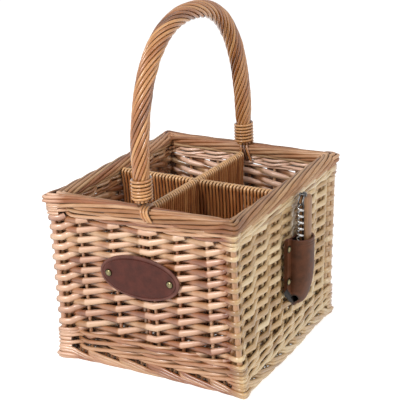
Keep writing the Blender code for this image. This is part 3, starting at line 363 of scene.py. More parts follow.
def leather_finish(name, colour, dark):
    """Waxed vegetable-tanned leather: fine pores, soft mottling, paler where it is rubbed, and painted
    near-black shade inside a fold, where the rub-and-shade attribute is below nought."""
    made, tree, inputs = new_material(name)
    colours = bpy.context.scene.basket_colours
    place = add(tree, "ShaderNodeTexCoord")["Object"]
    # Soft mottling of about 11 mm
    mottle = add(tree, "ShaderNodeTexNoise", {"Vector": place, "Scale": 90.0, "Detail": 4.0,
                                              "Roughness": 0.6})["Fac"]
    # Leather pores are near 0.3 mm; they are drawn at about 0.9 mm so that they show
    pores = add(tree, "ShaderNodeTexVoronoi", {"Vector": place, "Scale": 1100.0},
                feature="SMOOTH_F1")["Distance"]
    colour = ramp(tree, mottle, METAL_PLACES, (dark, colour))
    wear_and_shade = add(tree, "ShaderNodeAttribute", attribute_name="wear_and_shade")["Fac"]
    for factor, over in ((mottle, colours.leather_pale), (-1.0, colours.fold_shade)):
        share = add(tree, "ShaderNodeMath", {0: wear_and_shade, 1: factor}, operation="MULTIPLY")[0]
        colour = add(tree, "ShaderNodeMix", {0: share, 6: colour, 7: over}, data_type="RGBA")[2]
    rough = add(tree, "ShaderNodeMapRange", {"Value": mottle, "To Min": 0.4, "To Max": 0.6})[0]
    fine = add(tree, "ShaderNodeBump", {"Height": pores, "Strength": 0.16, "Distance": 0.0004})[0]
    broad = add(tree, "ShaderNodeBump", {"Height": mottle, "Strength": 0.2, "Distance": 0.0012,
                                         "Normal": fine})[0]
    connect(tree, inputs, {"Base Color": colour, "Roughness": rough, "Normal": broad,
                           "Specular IOR Level": 0.22})
    return made


def metal_finish(name, colour, dark, low, high, scale, painted_shadow=None):
    """A metal with faint patches of tarnish that also change its gloss, and a painted shadow in its
    rims.
    """
    made, tree, inputs = new_material(name)
    place = add(tree, "ShaderNodeTexCoord")["Object"]
    patches = add(tree, "ShaderNodeTexNoise", {"Vector": place, "Scale": scale,
                                               "Detail": 3.0})["Fac"]
    colour = ramp(tree, patches, METAL_PLACES, (dark, colour))
    if painted_shadow:
        rim = add(tree, "ShaderNodeAttribute", attribute_name="wear_and_shade")["Fac"]
        colour = add(tree, "ShaderNodeMix", {0: rim, 6: colour, 7: painted_shadow}, data_type="RGBA")[2]
    rough = add(tree, "ShaderNodeMapRange", {"Value": patches, "To Min": low, "To Max": high})[0]
    connect(tree, inputs, {"Base Color": colour, "Roughness": rough, "Metallic": 1.0})
    return made


def wood_finish(name, colour):
    """Oiled hardwood scales: fine grain lines along the grip, satin. A line is about 1.1 mm wide
    and 25 mm long."""
    made, tree, inputs = new_material(name)
    place = add(tree, "ShaderNodeMapping", {"Vector": add(tree, "ShaderNodeTexCoord")["Object"],
                                            "Scale": (900, 900, 40)})[0]
    grain = add(tree, "ShaderNodeTexNoise", {"Vector": place, "Scale": 1.0, "Detail": 4.0,
                                             "Distortion": 0.4})["Fac"]
    tones = [[min(1, c * share) for c in colour] for share in (0.5, 1.0, 1.25)]
    bump = add(tree, "ShaderNodeBump", {"Height": grain, "Strength": 0.2, "Distance": 0.0002})[0]
    connect(tree, inputs, {"Base Color": ramp(tree, grain, (0.28, 0.5, 0.8), tones),
                           "Roughness": 0.45, "Normal": bump})
    return made


def finish(name):
    """The finish of that name, made when it is first asked for."""
    found = bpy.data.materials.get(name)
    if found:
        return found
    c = bpy.context.scene.basket_colours
    willow = (c.willow_dark, c.willow_mid, c.willow_pale)
    side = (c.khaki_dark, c.khaki_mid, c.khaki_pale)
    handle = (c.handle_dark, c.handle_mid, c.handle_pale)
    divider = (c.divider_dark, c.divider_mid, c.divider_pale)
    band = [[part * share for part in c.band] for share in (0.6, 1.0, 1.35)]
    satin = [part * 0.34 for part in c.steel]
    maker, *values = {
        "varnished_willow": (willow_finish, willow, side),
        "rubbed_rim_willow": (willow_finish, willow, side, 0.5, (0.0, -0.8), 0.3),
        # The roping and the dividers take painted shade further round each rod, dark in its grooves
        "roping_willow": (willow_finish, handle, None, 0.4, (0.55, -0.1)),
        "divider_willow_rods": (willow_finish, divider, band, 0.5, (0.35, -0.35)),
        "waxed_leather": (leather_finish, c.leather, c.leather_dark),
        "waxed_sheath_leather": (leather_finish, c.sheath, c.sheath_dark),
        "oiled_hardwood": (wood_finish, c.wood),
        # Tarnish in patches of about 1.4 mm on the brass and 3.3 mm on the steel
        "antique_brass_domes": (metal_finish, c.brass, c.brass_dark, 0.22, 0.4, 700.0, c.painted_shadow),
        "bright_steel": (metal_finish, c.steel, c.steel_dark, 0.12, 0.24, 300.0),
        "satin_steel": (metal_finish, satin, c.steel_worn, 0.26, 0.42, 300.0),
    }[name]
    return maker(name, *values)


def rod_tree():
    """Geometry Nodes tree that turns lines with a radius at each point into round willow rods."""
    found = bpy.data.node_groups.get("willow_rods")
    if found:
        return found
    tree = bpy.data.node_groups.new("willow_rods", "GeometryNodeTree")
    for name, kind in (("Geometry", "Geometry"), ("Sides", "Int"), ("Steps", "Int"),
                       ("Flatness", "Float"), ("Keep Level", "Bool"), ("Finish", "Material")):
        tree.interface.new_socket(name, in_out="INPUT", socket_type="NodeSocket" + kind)
    tree.interface.new_socket("Geometry", in_out="OUTPUT", socket_type="NodeSocketGeometry")
    given = add(tree, "NodeGroupInput")
    curve = add(tree, "GeometryNodeMeshToCurve", {0: given["Geometry"]})[0]
    curve = add(tree, "GeometryNodeCurveSplineType", {0: curve}, spline_type="CATMULL_ROM")[0]
    curve = add(tree, "GeometryNodeSetSplineResolution", {0: curve, 2: given["Steps"]})[0]
    level = add(tree, "GeometryNodeSetCurveNormal", {0: curve}, mode="Z_UP")[0]
    curve = add(tree, "GeometryNodeSwitch", {"Switch": given["Keep Level"], "False": curve,
                                             "True": level})[0]
    length = add(tree, "GeometryNodeSplineParameter")["Length"]
    curve = add(tree, "GeometryNodeStoreNamedAttribute", {0: curve, "Name": "rod_along",
                                                          "Value": length})[0]
    circle = add(tree, "GeometryNodeCurvePrimitiveCircle", {"Resolution": given["Sides"],
                                                            "Radius": 1.0})[0]
    place = add(tree, "GeometryNodeInputPosition")[0]
    circle = add(tree, "GeometryNodeStoreNamedAttribute", {0: circle, "Name": "rod_ring",
                                                           "Value": place},
                 data_type="FLOAT_VECTOR")[0]
    squeeze = add(tree, "ShaderNodeCombineXYZ", {0: given["Flatness"], 1: 1.0, 2: 1.0})[0]
    circle = add(tree, "GeometryNodeTransform", {0: circle, "Scale": squeeze})[0]
    radius = add(tree, "GeometryNodeInputNamedAttribute", {"Name": "rod_radius"},
                 data_type="FLOAT")["Attribute"]
    solid = add(tree, "GeometryNodeCurveToMesh", {"Curve": curve, "Profile Curve": circle,
                                                  "Scale": radius, "Fill Caps": True})[0]
    smooth = add(tree, "GeometryNodeSetShadeSmooth", {0: solid})[0]
    real = add(tree, "GeometryNodeRealizeInstances", {0: smooth})[0]
    done = add(tree, "GeometryNodeSetMaterial", {0: real, "Material": given["Finish"]})[0]
    add(tree, "NodeGroupOutput", {0: done})
    return tree


def place_object(name, data):
    """A new object in the scene."""
    made = bpy.data.objects.new(name, data)
    bpy.context.scene.collection.objects.link(made)
    return made


class Rod:
    """One rod: its tone, and at each bend the point, the radius, where it faces for its painted shade,
    how far it turns to the tone of the right wall, and its painted light, painted shade below nought."""

    def __init__(self, rng, tones=(0.0, 1.0)):
        self.bends = []
        self.tone = rng.uniform(*tones)

    def bend(self, point, radius, face=(0, 0, 0), side_tint=0.0, light=0.0):
        """Add a bend to the rod."""
        self.bends.append((Vector(point), radius, tuple(face), side_tint, light))


def make_rods(name, rods, finish_name, sides=8, steps=2, flat=1.0):
    """Turn rods into one plain mesh piece through the Geometry Nodes tree; flat thins the section
    of rods that lie level."""
    points, radii, faces, tints, lights = zip(*(bend for rod in rods for bend in rod.bends))
    tones = [rod.tone for rod in rods for _ in rod.bends]
    edges, first = [], 0
    for rod in rods:
        last = first + len(rod.bends) - 1
        edges += [(i, i + 1) for i in range(first, last)]
        first = last + 1
    mesh = bpy.data.meshes.new(name)
    mesh.from_pydata(points, edges, [])
    for label, values in (("rod_radius", radii), ("rod_tone", tones), ("rod_tint", tints),
                          ("rod_painted_light", lights)):
        mesh.attributes.new(label, "FLOAT", "POINT").data.foreach_set("value", values)
    facing = mesh.attributes.new("rod_face", "FLOAT_VECTOR", "POINT").data
    facing.foreach_set("vector", [part for face in faces for part in face])
    made = place_object(name, mesh)
    sweep = made.modifiers.new("rods", "NODES")
    sweep.node_group = rod_tree()
    values = {"Sides": sides, "Steps": steps, "Flatness": flat, "Keep Level": flat < 1,
              "Finish": finish(finish_name)}
    for item in sweep.node_group.interface.items_tree:
        if item.in_out == "INPUT" and item.name in values:
            sweep[item.identifier] = values[item.name]
    bpy.context.view_layer.update()
    depsgraph = bpy.context.evaluated_depsgraph_get()
    solid = bpy.data.meshes.new_from_object(made.evaluated_get(depsgraph), depsgraph=depsgraph,
                                            preserve_all_data_layers=True)
    made.modifiers.clear()
    made.data = solid
    solid.name = name
    return made


def settle(piece, nodes, slot, body="basket"):
    """Hide what a piece replaces and attach it to the body it rides on; slot is not used."""
    if nodes:
        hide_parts(*nodes)
    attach(piece, body)
    return piece


def middle_reach(axis, z):
    """Distance from the origin to the middle of a wall, along X (0) or Y (1)."""
    base = BASE_HALF[axis]
    return base + (RIM_CORNER[axis] - base) * z / HEIGHT - RIM_REACH


def half_length(side, z):
    """Half the length of a wall at a height."""
    return middle_reach(side % 2, z)


def clamp(value):
    """A value held between nought and one."""
    return max(0.0, min(1.0, value))


def bowed(value, power):
    """A value raised to a power with its sign kept; of a sine or cosine it squares off a curve."""
    return math.copysign(abs(value) ** power, value)


def ease(share):
    """A share between nought and one, eased at both ends."""
    share = clamp(share)
    return share * share * (3 - 2 * share)


def hoop(centre, across, other, radius, count):
    """Points of a circle in the plane of two directions."""
    turns = [2 * math.pi * i / count for i in range(count)]
    return [centre + across * (radius * math.cos(turn)) + other * (radius * math.sin(turn))
            for turn in turns]


def splay(point):
    """Let the foot of a wall stand out, most at the front corners and least behind, and lift the
    rim a little at the back."""
    x, y = point.x / BASE_HALF[0], point.y / BASE_HALF[1]
    height = SPLAY_HEIGHT + (HEIGHT - SPLAY_HEIGHT) * ease((-y - 0.15) / 0.6)
    low = max(0.0, 1 - max(0.0, point.z) / height) ** 2
    point.x += SPLAY[x > 0] * bowed(x, 3) * low * ease((0.75 - y) / 0.9)
    point.z += BACK_LIFT * ease((y + 0.4) / 1.4) * max(0.0, point.z / HEIGHT) ** 4
    point.y -= SPLAY_FORWARD * max(0.0, -x) ** 2 * max(0.0, -y) ** 2 * low
    return point


def wall_point(side, along, out, z):
    """A point of a wall, from its place along the wall and its distance out of the middle."""
    flat = Vector((along, -(middle_reach(1 - side % 2, z) + out), z))
    return splay(Matrix.Rotation(side * math.pi / 2, 3, "Z") @ flat)


def wall_normal(side, lean=0.0):
    """Outward direction of a wall; lean turns it towards the wall before."""
    return Matrix.Rotation(side * math.pi / 2 - lean, 3, "Z") @ Vector((0, -1, 0))


STATIONS = []
for side_index, stakes in enumerate(STAKE_PLACES):
    STATIONS.append((side_index, -1.0, 0.0, True))
    STATIONS += [(side_index, share, pair, False) for share, pair in stakes]


def side_tint(side):
    """How far the willow turns to the tone of the right wall, which there stands for painted warm light
    on that side.
    """
    if side == 1:
        return 1.0
    return 0.0 if side == 0 else 0.12


def around(place, out, z, climb=0.0):
    """Points at a place round the basket, counted in stakes; each is (point, outward, side).

    climb is the rise of the rod in one bay, which it also keeps while it turns a corner.
    """
    whole = math.floor(place + 1e-9)
    part = place - whole
    side, share, pair, corner = STATIONS[whole % len(STATIONS)]
    length = half_length(side, z)
    outward = wall_normal(side)
    if part < 1e-6:
        if corner:
            before = (side - 1) % 4
            swell = CORNER_SWELL[side] * clamp(out / 0.004)
            run, lift = CORNER_RUN - min(out, 0), climb * 0.12
            tip = out + swell
            return [(wall_point(before, half_length(before, z) - run, out + swell / 2, z - lift),
                     wall_normal(before), before),
                    (wall_point(side, -length - tip, tip, z), wall_normal(side, math.pi / 4), side),
                    (wall_point(side, run - length, out + swell / 2, z + lift), outward, side)]
        spots = [share * length - pair, share * length + pair] if pair else [share * length]
        return [(wall_point(side, spot, out, z), outward, side) for spot in spots]
    after = STATIONS[(whole + 1) % len(STATIONS)]
    start = -length if corner else share * length + pair
    end = length if after[3] else after[1] * length - after[2]
    return [(wall_point(side, start + (end - start) * part, out, z), outward, side)]


class Wobble:
    """A smooth, seeded unevenness along a rod."""

    def __init__(self, rng, reach, waves=3):
        self.parts = [(rng.uniform(0.35, 2.2), rng.uniform(0, 2 * math.pi),
                       rng.uniform(-reach, reach)) for _ in range(waves)]

    def at(self, place):
        """Unevenness at a place."""
        return sum(size * math.sin(pace * place + start) for pace, start, size in self.parts)


def is_corner(whole):
    """Whether a place counted in stakes is a corner."""
    return STATIONS[whole % len(STATIONS)][3]


def with_corners(samples):
    """Samples of a rod with one at each corner it passes, and none close beside a corner."""
    full = []
    for one, two in zip(samples, samples[1:]):
        full.append(one)
        for whole in range(math.floor(one[0]) + 1, math.ceil(two[0])):
            if is_corner(whole):
                share = (whole - one[0]) / (two[0] - one[0])
                full.append(tuple(a + (b - a) * share for a, b in zip(one, two)))
    full.append(samples[-1])
    return [s for s in full if not (is_corner(round(s[0])) and 1e-6 < abs(s[0] - round(s[0])) < 0.22)]


def painted_flank_light(side, before, sample, after, crest):
    """Painted light on a weaver at a sample, painted shade below nought: a painted highlight after the
    stake that it crosses on the front and inside the back wall, painted shade before it and inside the
    left wall."""
    out = sample[1]
    if side == 0:
        rising = after[1] - before[1] > 1e-5
        return (-1.0 if out > 0 else 0.0) if rising else ease(out / crest + 0.7)
    return INSIDE_PAINTED_LIGHT[side] if out < 0 else 0.0


def lay_rod(rng, samples, radius_at, uneven=0.00025, crest=0.0045, corner_lift=0.0, swelling=0.0,
            buried=False, tones=(0.0, 1.0), khaki=1.0):
    """A rod through (place, out, z) samples round the basket, thicker by swelling at its crests; a
    buried one carries painted shade on its outer and upper sides. khaki is how far it takes the tone of
    the right wall there."""
    rod = Rod(rng, tones)
    side_way, height_way = Wobble(rng, uneven), Wobble(rng, uneven)
    own_tint = OWN_TINT * rng.random() ** 3
    samples = with_corners(samples)
    last = len(samples) - 1
    for i, sample in enumerate(samples):
        place, out, z = sample
        before, after = samples[max(i - 1, 0)], samples[min(i + 1, last)]
        climb = (after[2] - before[2]) / max(0.1, after[0] - before[0])
        off = abs(place - round(place))
        corner, _, _, turning = STATIONS[round(place) % len(STATIONS)]
        if turning and off < 1e-6:
            z += corner_lift
        wide = radius_at(i / last)
        if swelling:
            wide *= CORNER_THICK[corner] if turning else 1 + swelling * min(1, abs(out) / crest)
        for point, outward, side in around(place, out + side_way.at(place),
                                           z + height_way.at(place), climb):
            face = outward * max(-1, min(1, out / crest))
            if buried:
                face = -outward - Vector((0, 0, 0.8))
            light = 0.0
            # Painted light and shade at the corners; painted shade on the left wall's side of the
            # front-left one
            if turning and off < 0.3:
                light = CORNER_PAINTED_LIGHT[corner] if corner or side == 0 else -0.5
            # Painted highlight and shade on the weavers, painted light on the back wall's inner waling
            elif swelling or (side == 2 and z < RIM_LOW):
                light = painted_flank_light(side, before, sample, after, crest)
            rod.bend(point, wide, face, min(1, khaki * side_tint(side) + own_tint), light)
    return rod


def ring_rod(rng, out, z, wide, uneven, **form):
    """A rod that lies level round the whole basket."""
    samples = [(i / 2, out, z) for i in range(2 * len(STATIONS) + 1)]
    return lay_rod(rng, samples, tapered(wide, wide), uneven, **form)


def tapered(butt, tip, pointed=0.0):
    """Radius of a rod along its length; pointed is the share at its end that is cut to a point."""
    def radius(share):
        wide = (butt + (tip - butt) * share) / 2
        if pointed and share > 1 - pointed:
            wide *= max(0.18, (1 - share) / pointed)
        return wide
    return radius


def weavers(sizes, rng):
    """French randing: one weaver from each bay, in front of one stake and behind the next, and each
    time a level higher, all the way up the walls. A weaver rises most after the stake it crosses."""
    rods = []
    for first in range(len(STATIONS)):
        samples = [(first - 0.4, -0.001, sizes.first_level - 0.85 * sizes.level_pitch)]
        for level in range(sizes.levels + 1):
            sign = 1 if level % 2 == 0 else -1
            ends = [way * (sizes.crest if way > 0 or not is_corner(first + level + step)
                           else sizes.inside) for step, way in ((0, sign), (1, -sign))]
            for part in (0.0, 0.07, 0.3, 0.5, 0.7, 0.93):
                if level == sizes.levels and part > 0.4:
                    break
                turn = 1 - 2 * part
                out = ends[0] * (1 + turn) / 2 + ends[1] * (1 - turn) / 2
                done = (level - 0.5 + part) / sizes.levels
                grown = done * (1 + sizes.packing - sizes.packing * done)
                z = sizes.first_level + grown * sizes.levels * sizes.level_pitch
                samples.append((first + level + part, out, z - sign * sizes.sway * turn))
        rods.append(lay_rod(rng, samples, tapered(sizes.weaver_butt, sizes.weaver_tip), 0.0002,
                            sizes.crest, swelling=sizes.swelling))
    return rods


def wales(rng, low, rows, rise, row_pitch, diameter):
    """Waling: each stroke passes in front of two stakes, behind the third, and rises a little."""
    rods = []
    total = len(STATIONS)
    for row in range(rows):
        z = low + diameter / 2 + row * row_pitch
        for start in range(3):
            samples = [(start + stroke + part, out * WALING_CREST, z + lift * rise)
                       for stroke in range(0, total + 1, 3) for part, out, lift in WALE_STROKE]
            samples = [s for s in samples if s[0] <= start + total + 0.2]
            rods.append(lay_rod(rng, samples, tapered(diameter, diameter * 0.94), 0.0003))
    return rods


def rim_strands(sizes, rng):
    """The rim: each stake's strand comes out low on the outer face, climbs to the right beside its
    neighbours, crosses the top and ends at the inner edge. Level rods fill it and close it below."""
    rods = []
    half = sizes.rim_rod / 2
    outer = RIM_REACH - half
    low, top = RIM_LOW + half, HEIGHT - half
    radius = tapered(sizes.rim_rod, sizes.rim_rod * 0.9, 0.03)
    for first in range(len(STATIONS)):
        samples = [(first + place, out * outer, low + z * (top - low)) for place, out, z in RIM_ROUTE]
        rods.append(lay_rod(rng, samples, radius, 0.0002, corner_lift=0.0008, tones=(0.0, 0.8),
                            khaki=0.2))
    # The filler rods carry painted shade on their outer and upper sides
    for spot in RIM_FILLERS:
        rods.append(ring_rod(rng, *spot, 0.0003, buried=True))
    for spot in RIM_LINERS:
        rods.append(ring_rod(rng, *spot, 0.0004, crest=-spot[0], tones=(0.2, 0.5)))
    return rods


def foot_strands(sizes, rng):
    """The foot border: two rods leave each stake under the waling, slope down to the right and end
    inside, so that a dark triangle stays open before the next pair; thin stubs stand in it."""
    rods = []
    half = sizes.foot_rod / 2
    outer = RIM_REACH - half
    radius = tapered(sizes.foot_rod, sizes.foot_rod * 0.9, 0.1)
    for first in range(len(STATIONS)):
        for route in FOOT_ROUTES:
            samples = [(first + place, out * outer, max(z, half)) for place, out, z in route]
            rods.append(lay_rod(rng, samples, radius, 0.0002))
        for place in (0.46, 0.64, 0.82):
            stub = Rod(rng)
            for z in (0.004, 0.009, 0.0155):
                spot = first + place + rng.uniform(-0.03, 0.03)
                for point, outward, side in around(spot, 0.0032, z):
                    stub.bend(point, 0.0011, side_tint=side_tint(side))
            rods.append(stub)
    rods.append(ring_rod(rng, -0.0035, FOOT_TOP * 0.45, 0.006, 0.0001))
    return rods


def even_steps(low, high, parts=8):
    """Even steps from low to high."""
    return [low + (high - low) * i / parts for i in range(parts + 1)]


def uprights(rng, side, diameter, low, high):
    """The stakes of one wall, a little thinner at the top."""
    rods = []
    for place, share, pair, corner in STATIONS:
        if place != side or corner:
            continue
        for offset in ((-pair, pair) if pair else (0,)):
            rod = Rod(rng)
            lean = Wobble(rng, 0.0003)
            for i, z in enumerate(even_steps(low, high)):
                point = wall_point(side, share * half_length(side, z) + offset + lean.at(i), 0, z)
                rod.bend(point, diameter / 2 * (1 - 0.1 * i / 8), side_tint=side_tint(side))
            rods.append(rod)
    return rods


def corner_post(rng, side, diameter, low, high):
    """The post in the corner at the start of a wall, and the stake that stands inside it."""
    # The inner stake takes dark tones as painted shade behind its post
    post, inner = Rod(rng, (0.2, 0.6)), Rod(rng, (0.0, 0.3))
    out = POST_OUT[side]
    back = out - INNER_BEHIND[side]
    for z in even_steps(low, high):
        length = half_length(side, z)
        post.bend(wall_point(side, -out - length, out, z), diameter / 2, (0, 0, 0),
                  POST_TINT[side], POST_PAINTED_LIGHT[side])
        inner.bend(wall_point(side, -back - 0.0030 - length, back, z), diameter * 0.6,
                   wall_normal(side, math.pi / 4), INNER_TINT[side], INNER_PAINTED_LIGHT[side])
    return [post, inner]


class BASKET_OT_walls(Operator):
    """Weave the four walls and stand their stakes and corner posts"""
    bl_idname = "basket.walls"
    bl_label = "Walls"

    def execute(self, context):
        sizes = context.scene.basket_willow
        rng = random.Random(11)
        weave = make_rods("wall_weave", weavers(sizes, rng), "varnished_willow", flat=0.72)
        settle(weave, [name + "_wall_weave" for name in SIDE_NAMES], "willow")
        low, high = FOOT_TOP * 0.5, RIM_LOW + 0.004
        for side, name in enumerate(SIDE_NAMES):
            rods = uprights(rng, side, sizes.stake, low, high)
            stakes = make_rods(name + "_stakes", rods, "varnished_willow")
            settle(stakes, [f"{name}_stake_{i}" for i in range(1, 6)], "willow")
            post = make_rods(f"corner_post_{side + 1}_rod",
                             corner_post(rng, side, sizes.stake * 1.5, low, high),
                             "varnished_willow", sides=10)
            settle(post, [f"corner_post_{side + 1}"], "willow")
        return {"FINISHED"}


class BASKET_OT_borders(Operator):
    """Lay the rim, both walings and the foot border"""
    bl_idname = "basket.borders"
    bl_label = "Borders"

    def execute(self, context):
        sizes = context.scene.basket_willow
        rng = random.Random(23)
        rod, thin = sizes.waling_rod, sizes.upper_waling_rod
        foot, head = LOWER_WALING_LOW, UPPER_WALING_LOW
        low = wales(rng, foot, 2, rod * 0.97, rod * 1.94, rod)
        low += wales(rng, foot + 3.88 * rod, 1, rod * 0.55, rod, rod * 0.92)
        high = wales(rng, head, 1, thin * 0.95, thin, thin)
        high += wales(rng, head + thin * 1.4, 1, thin * 0.6, thin, thin)
        for name, rods, surface, steps, node in (
                ("lower_waling", low, "varnished_willow", 2, "bottom_waling"),
                ("upper_waling", high, "varnished_willow", 2, "top_waling"),
                ("rim_strands", rim_strands(sizes, rng), "rubbed_rim_willow", 3, "rim_border"),
                ("foot_strands", foot_strands(sizes, rng), "varnished_willow", 3, "foot_border")):
            settle(make_rods(name, rods, surface, steps=steps), [node], "willow")
        return {"FINISHED"}


def base_rods(sizes, rng):
    """The woven base: sticks from side to side, and weavers from front to back over and under."""
    low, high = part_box("base_panel")
    span, middle = high - low, (low.z + high.z) / 2
    sticks = 7
    steps = 4 * sticks
    rods = []
    for i in range(sticks):
        stick = Rod(rng)
        y = low.y + span.y * (i + 0.5) / sticks
        for x in (low.x, low.x / 2, 0.0, high.x / 2, high.x):
            stick.bend(splay(Vector((x, y, middle))), 0.0025, side_tint=0.3)
        rods.append(stick)
    count = round(span.x / (sizes.base_rod * 0.88))
    for i in range(count):
        weaver = Rod(rng)
        x = low.x + span.x * (i + 0.5) / count
        inset = 0.004 if i in (0, count - 1) else 0.0
        for j in range(steps + 1):
            y = low.y + inset + (span.y - 2 * inset) * j / steps
            lift = 0.0028 * math.sin(math.pi * (j / 4)) * (1 if i % 2 else -1)
            weaver.bend(splay(Vector((x, y, middle + lift))), sizes.base_rod / 2, side_tint=0.3)
        rods.append(weaver)
    return rods


def hairpins(sizes, rng, start, end, rail_z, turn):
    """Upright divider rods, each bent over the rail; start and end give the panel's ends."""
    rods = []
    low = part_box("long_divider_panel")[0].z
    count = round((end(rail_z) - start(rail_z)) / sizes.divider_pitch)
    half = sizes.divider_rod / 2
    over = sizes.rail / 2 + half * 0.8
    leg = [(-share * 1.9 * half, z) for share, z in ((0.6, low), (0.6, low + 0.05),
                                                     (0.62, low + 0.11), (0.7, rail_z - 0.02))]
    head = [(-over * 0.98, rail_z - 0.003), (-over * 0.8, rail_z + over * 0.55)]
    path = leg + head + [(0, rail_z + over)] + [(-out, z) for out, z in reversed(leg + head)]
    for i in range(count):
        share = (i + 0.5) / count
        rod = Rod(rng, (0.3, 0.7))
        lean = rng.uniform(-0.0003, 0.0003)
        for j, (out, z) in enumerate(path):
            place = start(z) + (end(z) - start(z)) * share
            way = max(-1, min(1, out / half))
            aside = sizes.divider_pitch / 4 * way + lean * (1 if j % 2 else -1)
            face = Vector((0, way, 1 if z > rail_z - 0.004 else 0))
            rod.bend(turn @ Vector((place + aside, out, z)), half, turn @ face,
                     1 if z > rail_z - 0.002 else 0)
        rods.append(rod)
    return rods


class BASKET_OT_inside(Operator):
    """Weave the base and hang the dividers"""
    bl_idname = "basket.inside"
    bl_label = "Base and dividers"

    def execute(self, context):
        sizes = context.scene.basket_willow
        rng = random.Random(37)
        settle(make_rods("woven_base", base_rods(sizes, rng), "varnished_willow", sides=6),
               ["base_panel"], "willow")

        def long_end(z):
            return middle_reach(1, z) - WALL_HALF - 0.0043

        def cross_end(z):
            return middle_reach(0, z) - WALL_HALF - 0.001

        def cross_start(z):
            return 0.0052

        for name, turn, start, end in (
                ("long_divider", math.pi / 2, lambda z: -long_end(z), long_end),
                ("cross_divider_right", 0, cross_start, cross_end),
                ("cross_divider_left", math.pi, cross_start, cross_end)):
            low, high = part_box(name + "_rail")
            rail_z = high.z - sizes.divider_rod * 0.9 - sizes.rail / 2
            turned = Matrix.Rotation(turn, 3, "Z")
            pins = hairpins(sizes, rng, start, end, rail_z, turned)
            ends = (low.y, high.y) if start is not cross_start else (0.0045, max(-low.x, high.x))
            rail = Rod(rng)
            for share in even_steps(0, 1, 6):
                along = ends[0] + (ends[1] - ends[0]) * share
                rail.bend(turned @ Vector((along, 0, rail_z)), sizes.rail / 2)
            pins.append(rail)
            settle(make_rods(name, pins, "divider_willow_rods", sides=6),
                   [name + "_panel", name + "_rail"], "divider_willow")
        return {"FINISHED"}


def handle_line(count):
    """Even points of the handle's centre line, from its front foot over the top to its back foot;
    returns them with the line's length."""
    low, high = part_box("handle_roping")
    power, fine, half_width = 2 / 2.4, 400, 0.0108
    spring = HEIGHT + 0.0320
    half_span = (high.y - low.y) / 2 - half_width
    rise = high.z - half_width - spring
    path = [Vector((0, -half_span, low.z))]
    for i in range(fine + 1):
        angle = math.pi * i / fine
        lift = math.sin(angle) ** power if 0 < i < fine else 0
        path.append(Vector((0, -half_span * bowed(math.cos(angle), power), spring + rise * lift)))
    path.append(Vector((0, half_span, low.z)))
    lengths = [0.0]
    for one, two in zip(path, path[1:]):
        lengths.append(lengths[-1] + (two - one).length)
    result, spot = [], 0
    for i in range(count + 1):
        goal = lengths[-1] * i / count
        while spot < len(path) - 2 and lengths[spot + 1] < goal:
            spot += 1
        part = (goal - lengths[spot]) / (lengths[spot + 1] - lengths[spot])
        result.append(path[spot].lerp(path[spot + 1], part))
    return result, lengths[-1]


def handle_parts(sizes, rng):
    """Rods of the roping, the bow inside them, and the line that they follow."""
    count = 84
    path, length = handle_line(count)
    across = Vector((1, 0, 0))
    rods = [Rod(rng) for _ in range(sizes.rods)]
    ways = [Wobble(rng, 0.00022) for _ in rods]
    bow = Rod(rng)
    for i, point in enumerate(path):
        direction = (path[min(i + 1, count)] - path[max(i - 1, 0)]).normalized()
        normal = direction.cross(across).normalized()
        run = length * i / count
        # The handle grows to its full width between 22 and 52 mm from each foot
        grown = ease((min(run, length - run) - 0.022) / 0.03)
        wide = sizes.neck + (sizes.width - sizes.neck) * grown
        bow.bend(point, BOW_RADIUS)
        for j, (rod, way) in enumerate(zip(rods, ways)):
            angle = 2 * math.pi * (j / sizes.rods + run / sizes.lay) + way.at(i / 6) * 60
            reach = wide / 2 - sizes.rod / 2 + way.at(i / 9 + 3)
            outward = across * math.cos(angle) + normal * math.sin(angle)
            rod.bend(point + outward * reach, sizes.rod / 2, outward * 0.9)
    return rods, bow, path


def winding(rng, foot, sizes):
    """The skein wound round a foot of the handle."""
    rod = Rod(rng, (0.75, 1.0))
    points, half = 14, sizes.binding_rod / 2
    reach = sizes.neck / 2 + half - 0.0002
    way = Wobble(rng, 0.0002)
    for i in range(round(BINDING_TURNS * points) + 1):
        angle = 2 * math.pi * i / points
        ahead = Vector((math.cos(angle), math.sin(angle), 0))
        rise = half + sizes.binding_pitch * i / points + way.at(i / points)
        rod.bend(foot + ahead * reach + Vector((0, 0, rise)), half, ahead)
    return [rod]


def lapping(rng, side, aside):
    """Three rods lapped over the rim under a foot of the handle, aside of it; they spread inside."""
    rods = []
    low, diameter, bedded = 0.1978, 0.0036, 0.0002
    outer = RIM_REACH + diameter / 2 + bedded
    inner = -WALL_HALF - diameter / 2 - bedded
    top = HEIGHT + diameter / 2 - bedded
    # The way over the rim as (out, z, share of the slant)
    route = ((outer - 0.002, low, 1.0), (outer, low + 0.0045, 0.8), (outer, 0.2055, 0.5),
             (outer - 0.0012, 0.2098, 0.25), (outer * 0.45, top, 0.1), (-0.002, top, 0.0),
             (inner * 0.8, 0.2105, -0.15), (inner, 0.205, -0.4), (inner, 0.198, -0.7),
             (inner + 0.001, 0.1915, -1.0))
    for i in (-1, 0, 1):
        rod = Rod(rng)
        for out, z, share in route:
            along = share * 0.0060 + i * diameter * 1.04 + aside
            if out < 0:
                along += i * 0.002 * abs(share)
            rod.bend(wall_point(side, along, out, z), diameter / 2,
                     wall_normal(side) * (0.8 if out > 0 else -0.8))
        rods.append(rod)
    return rods


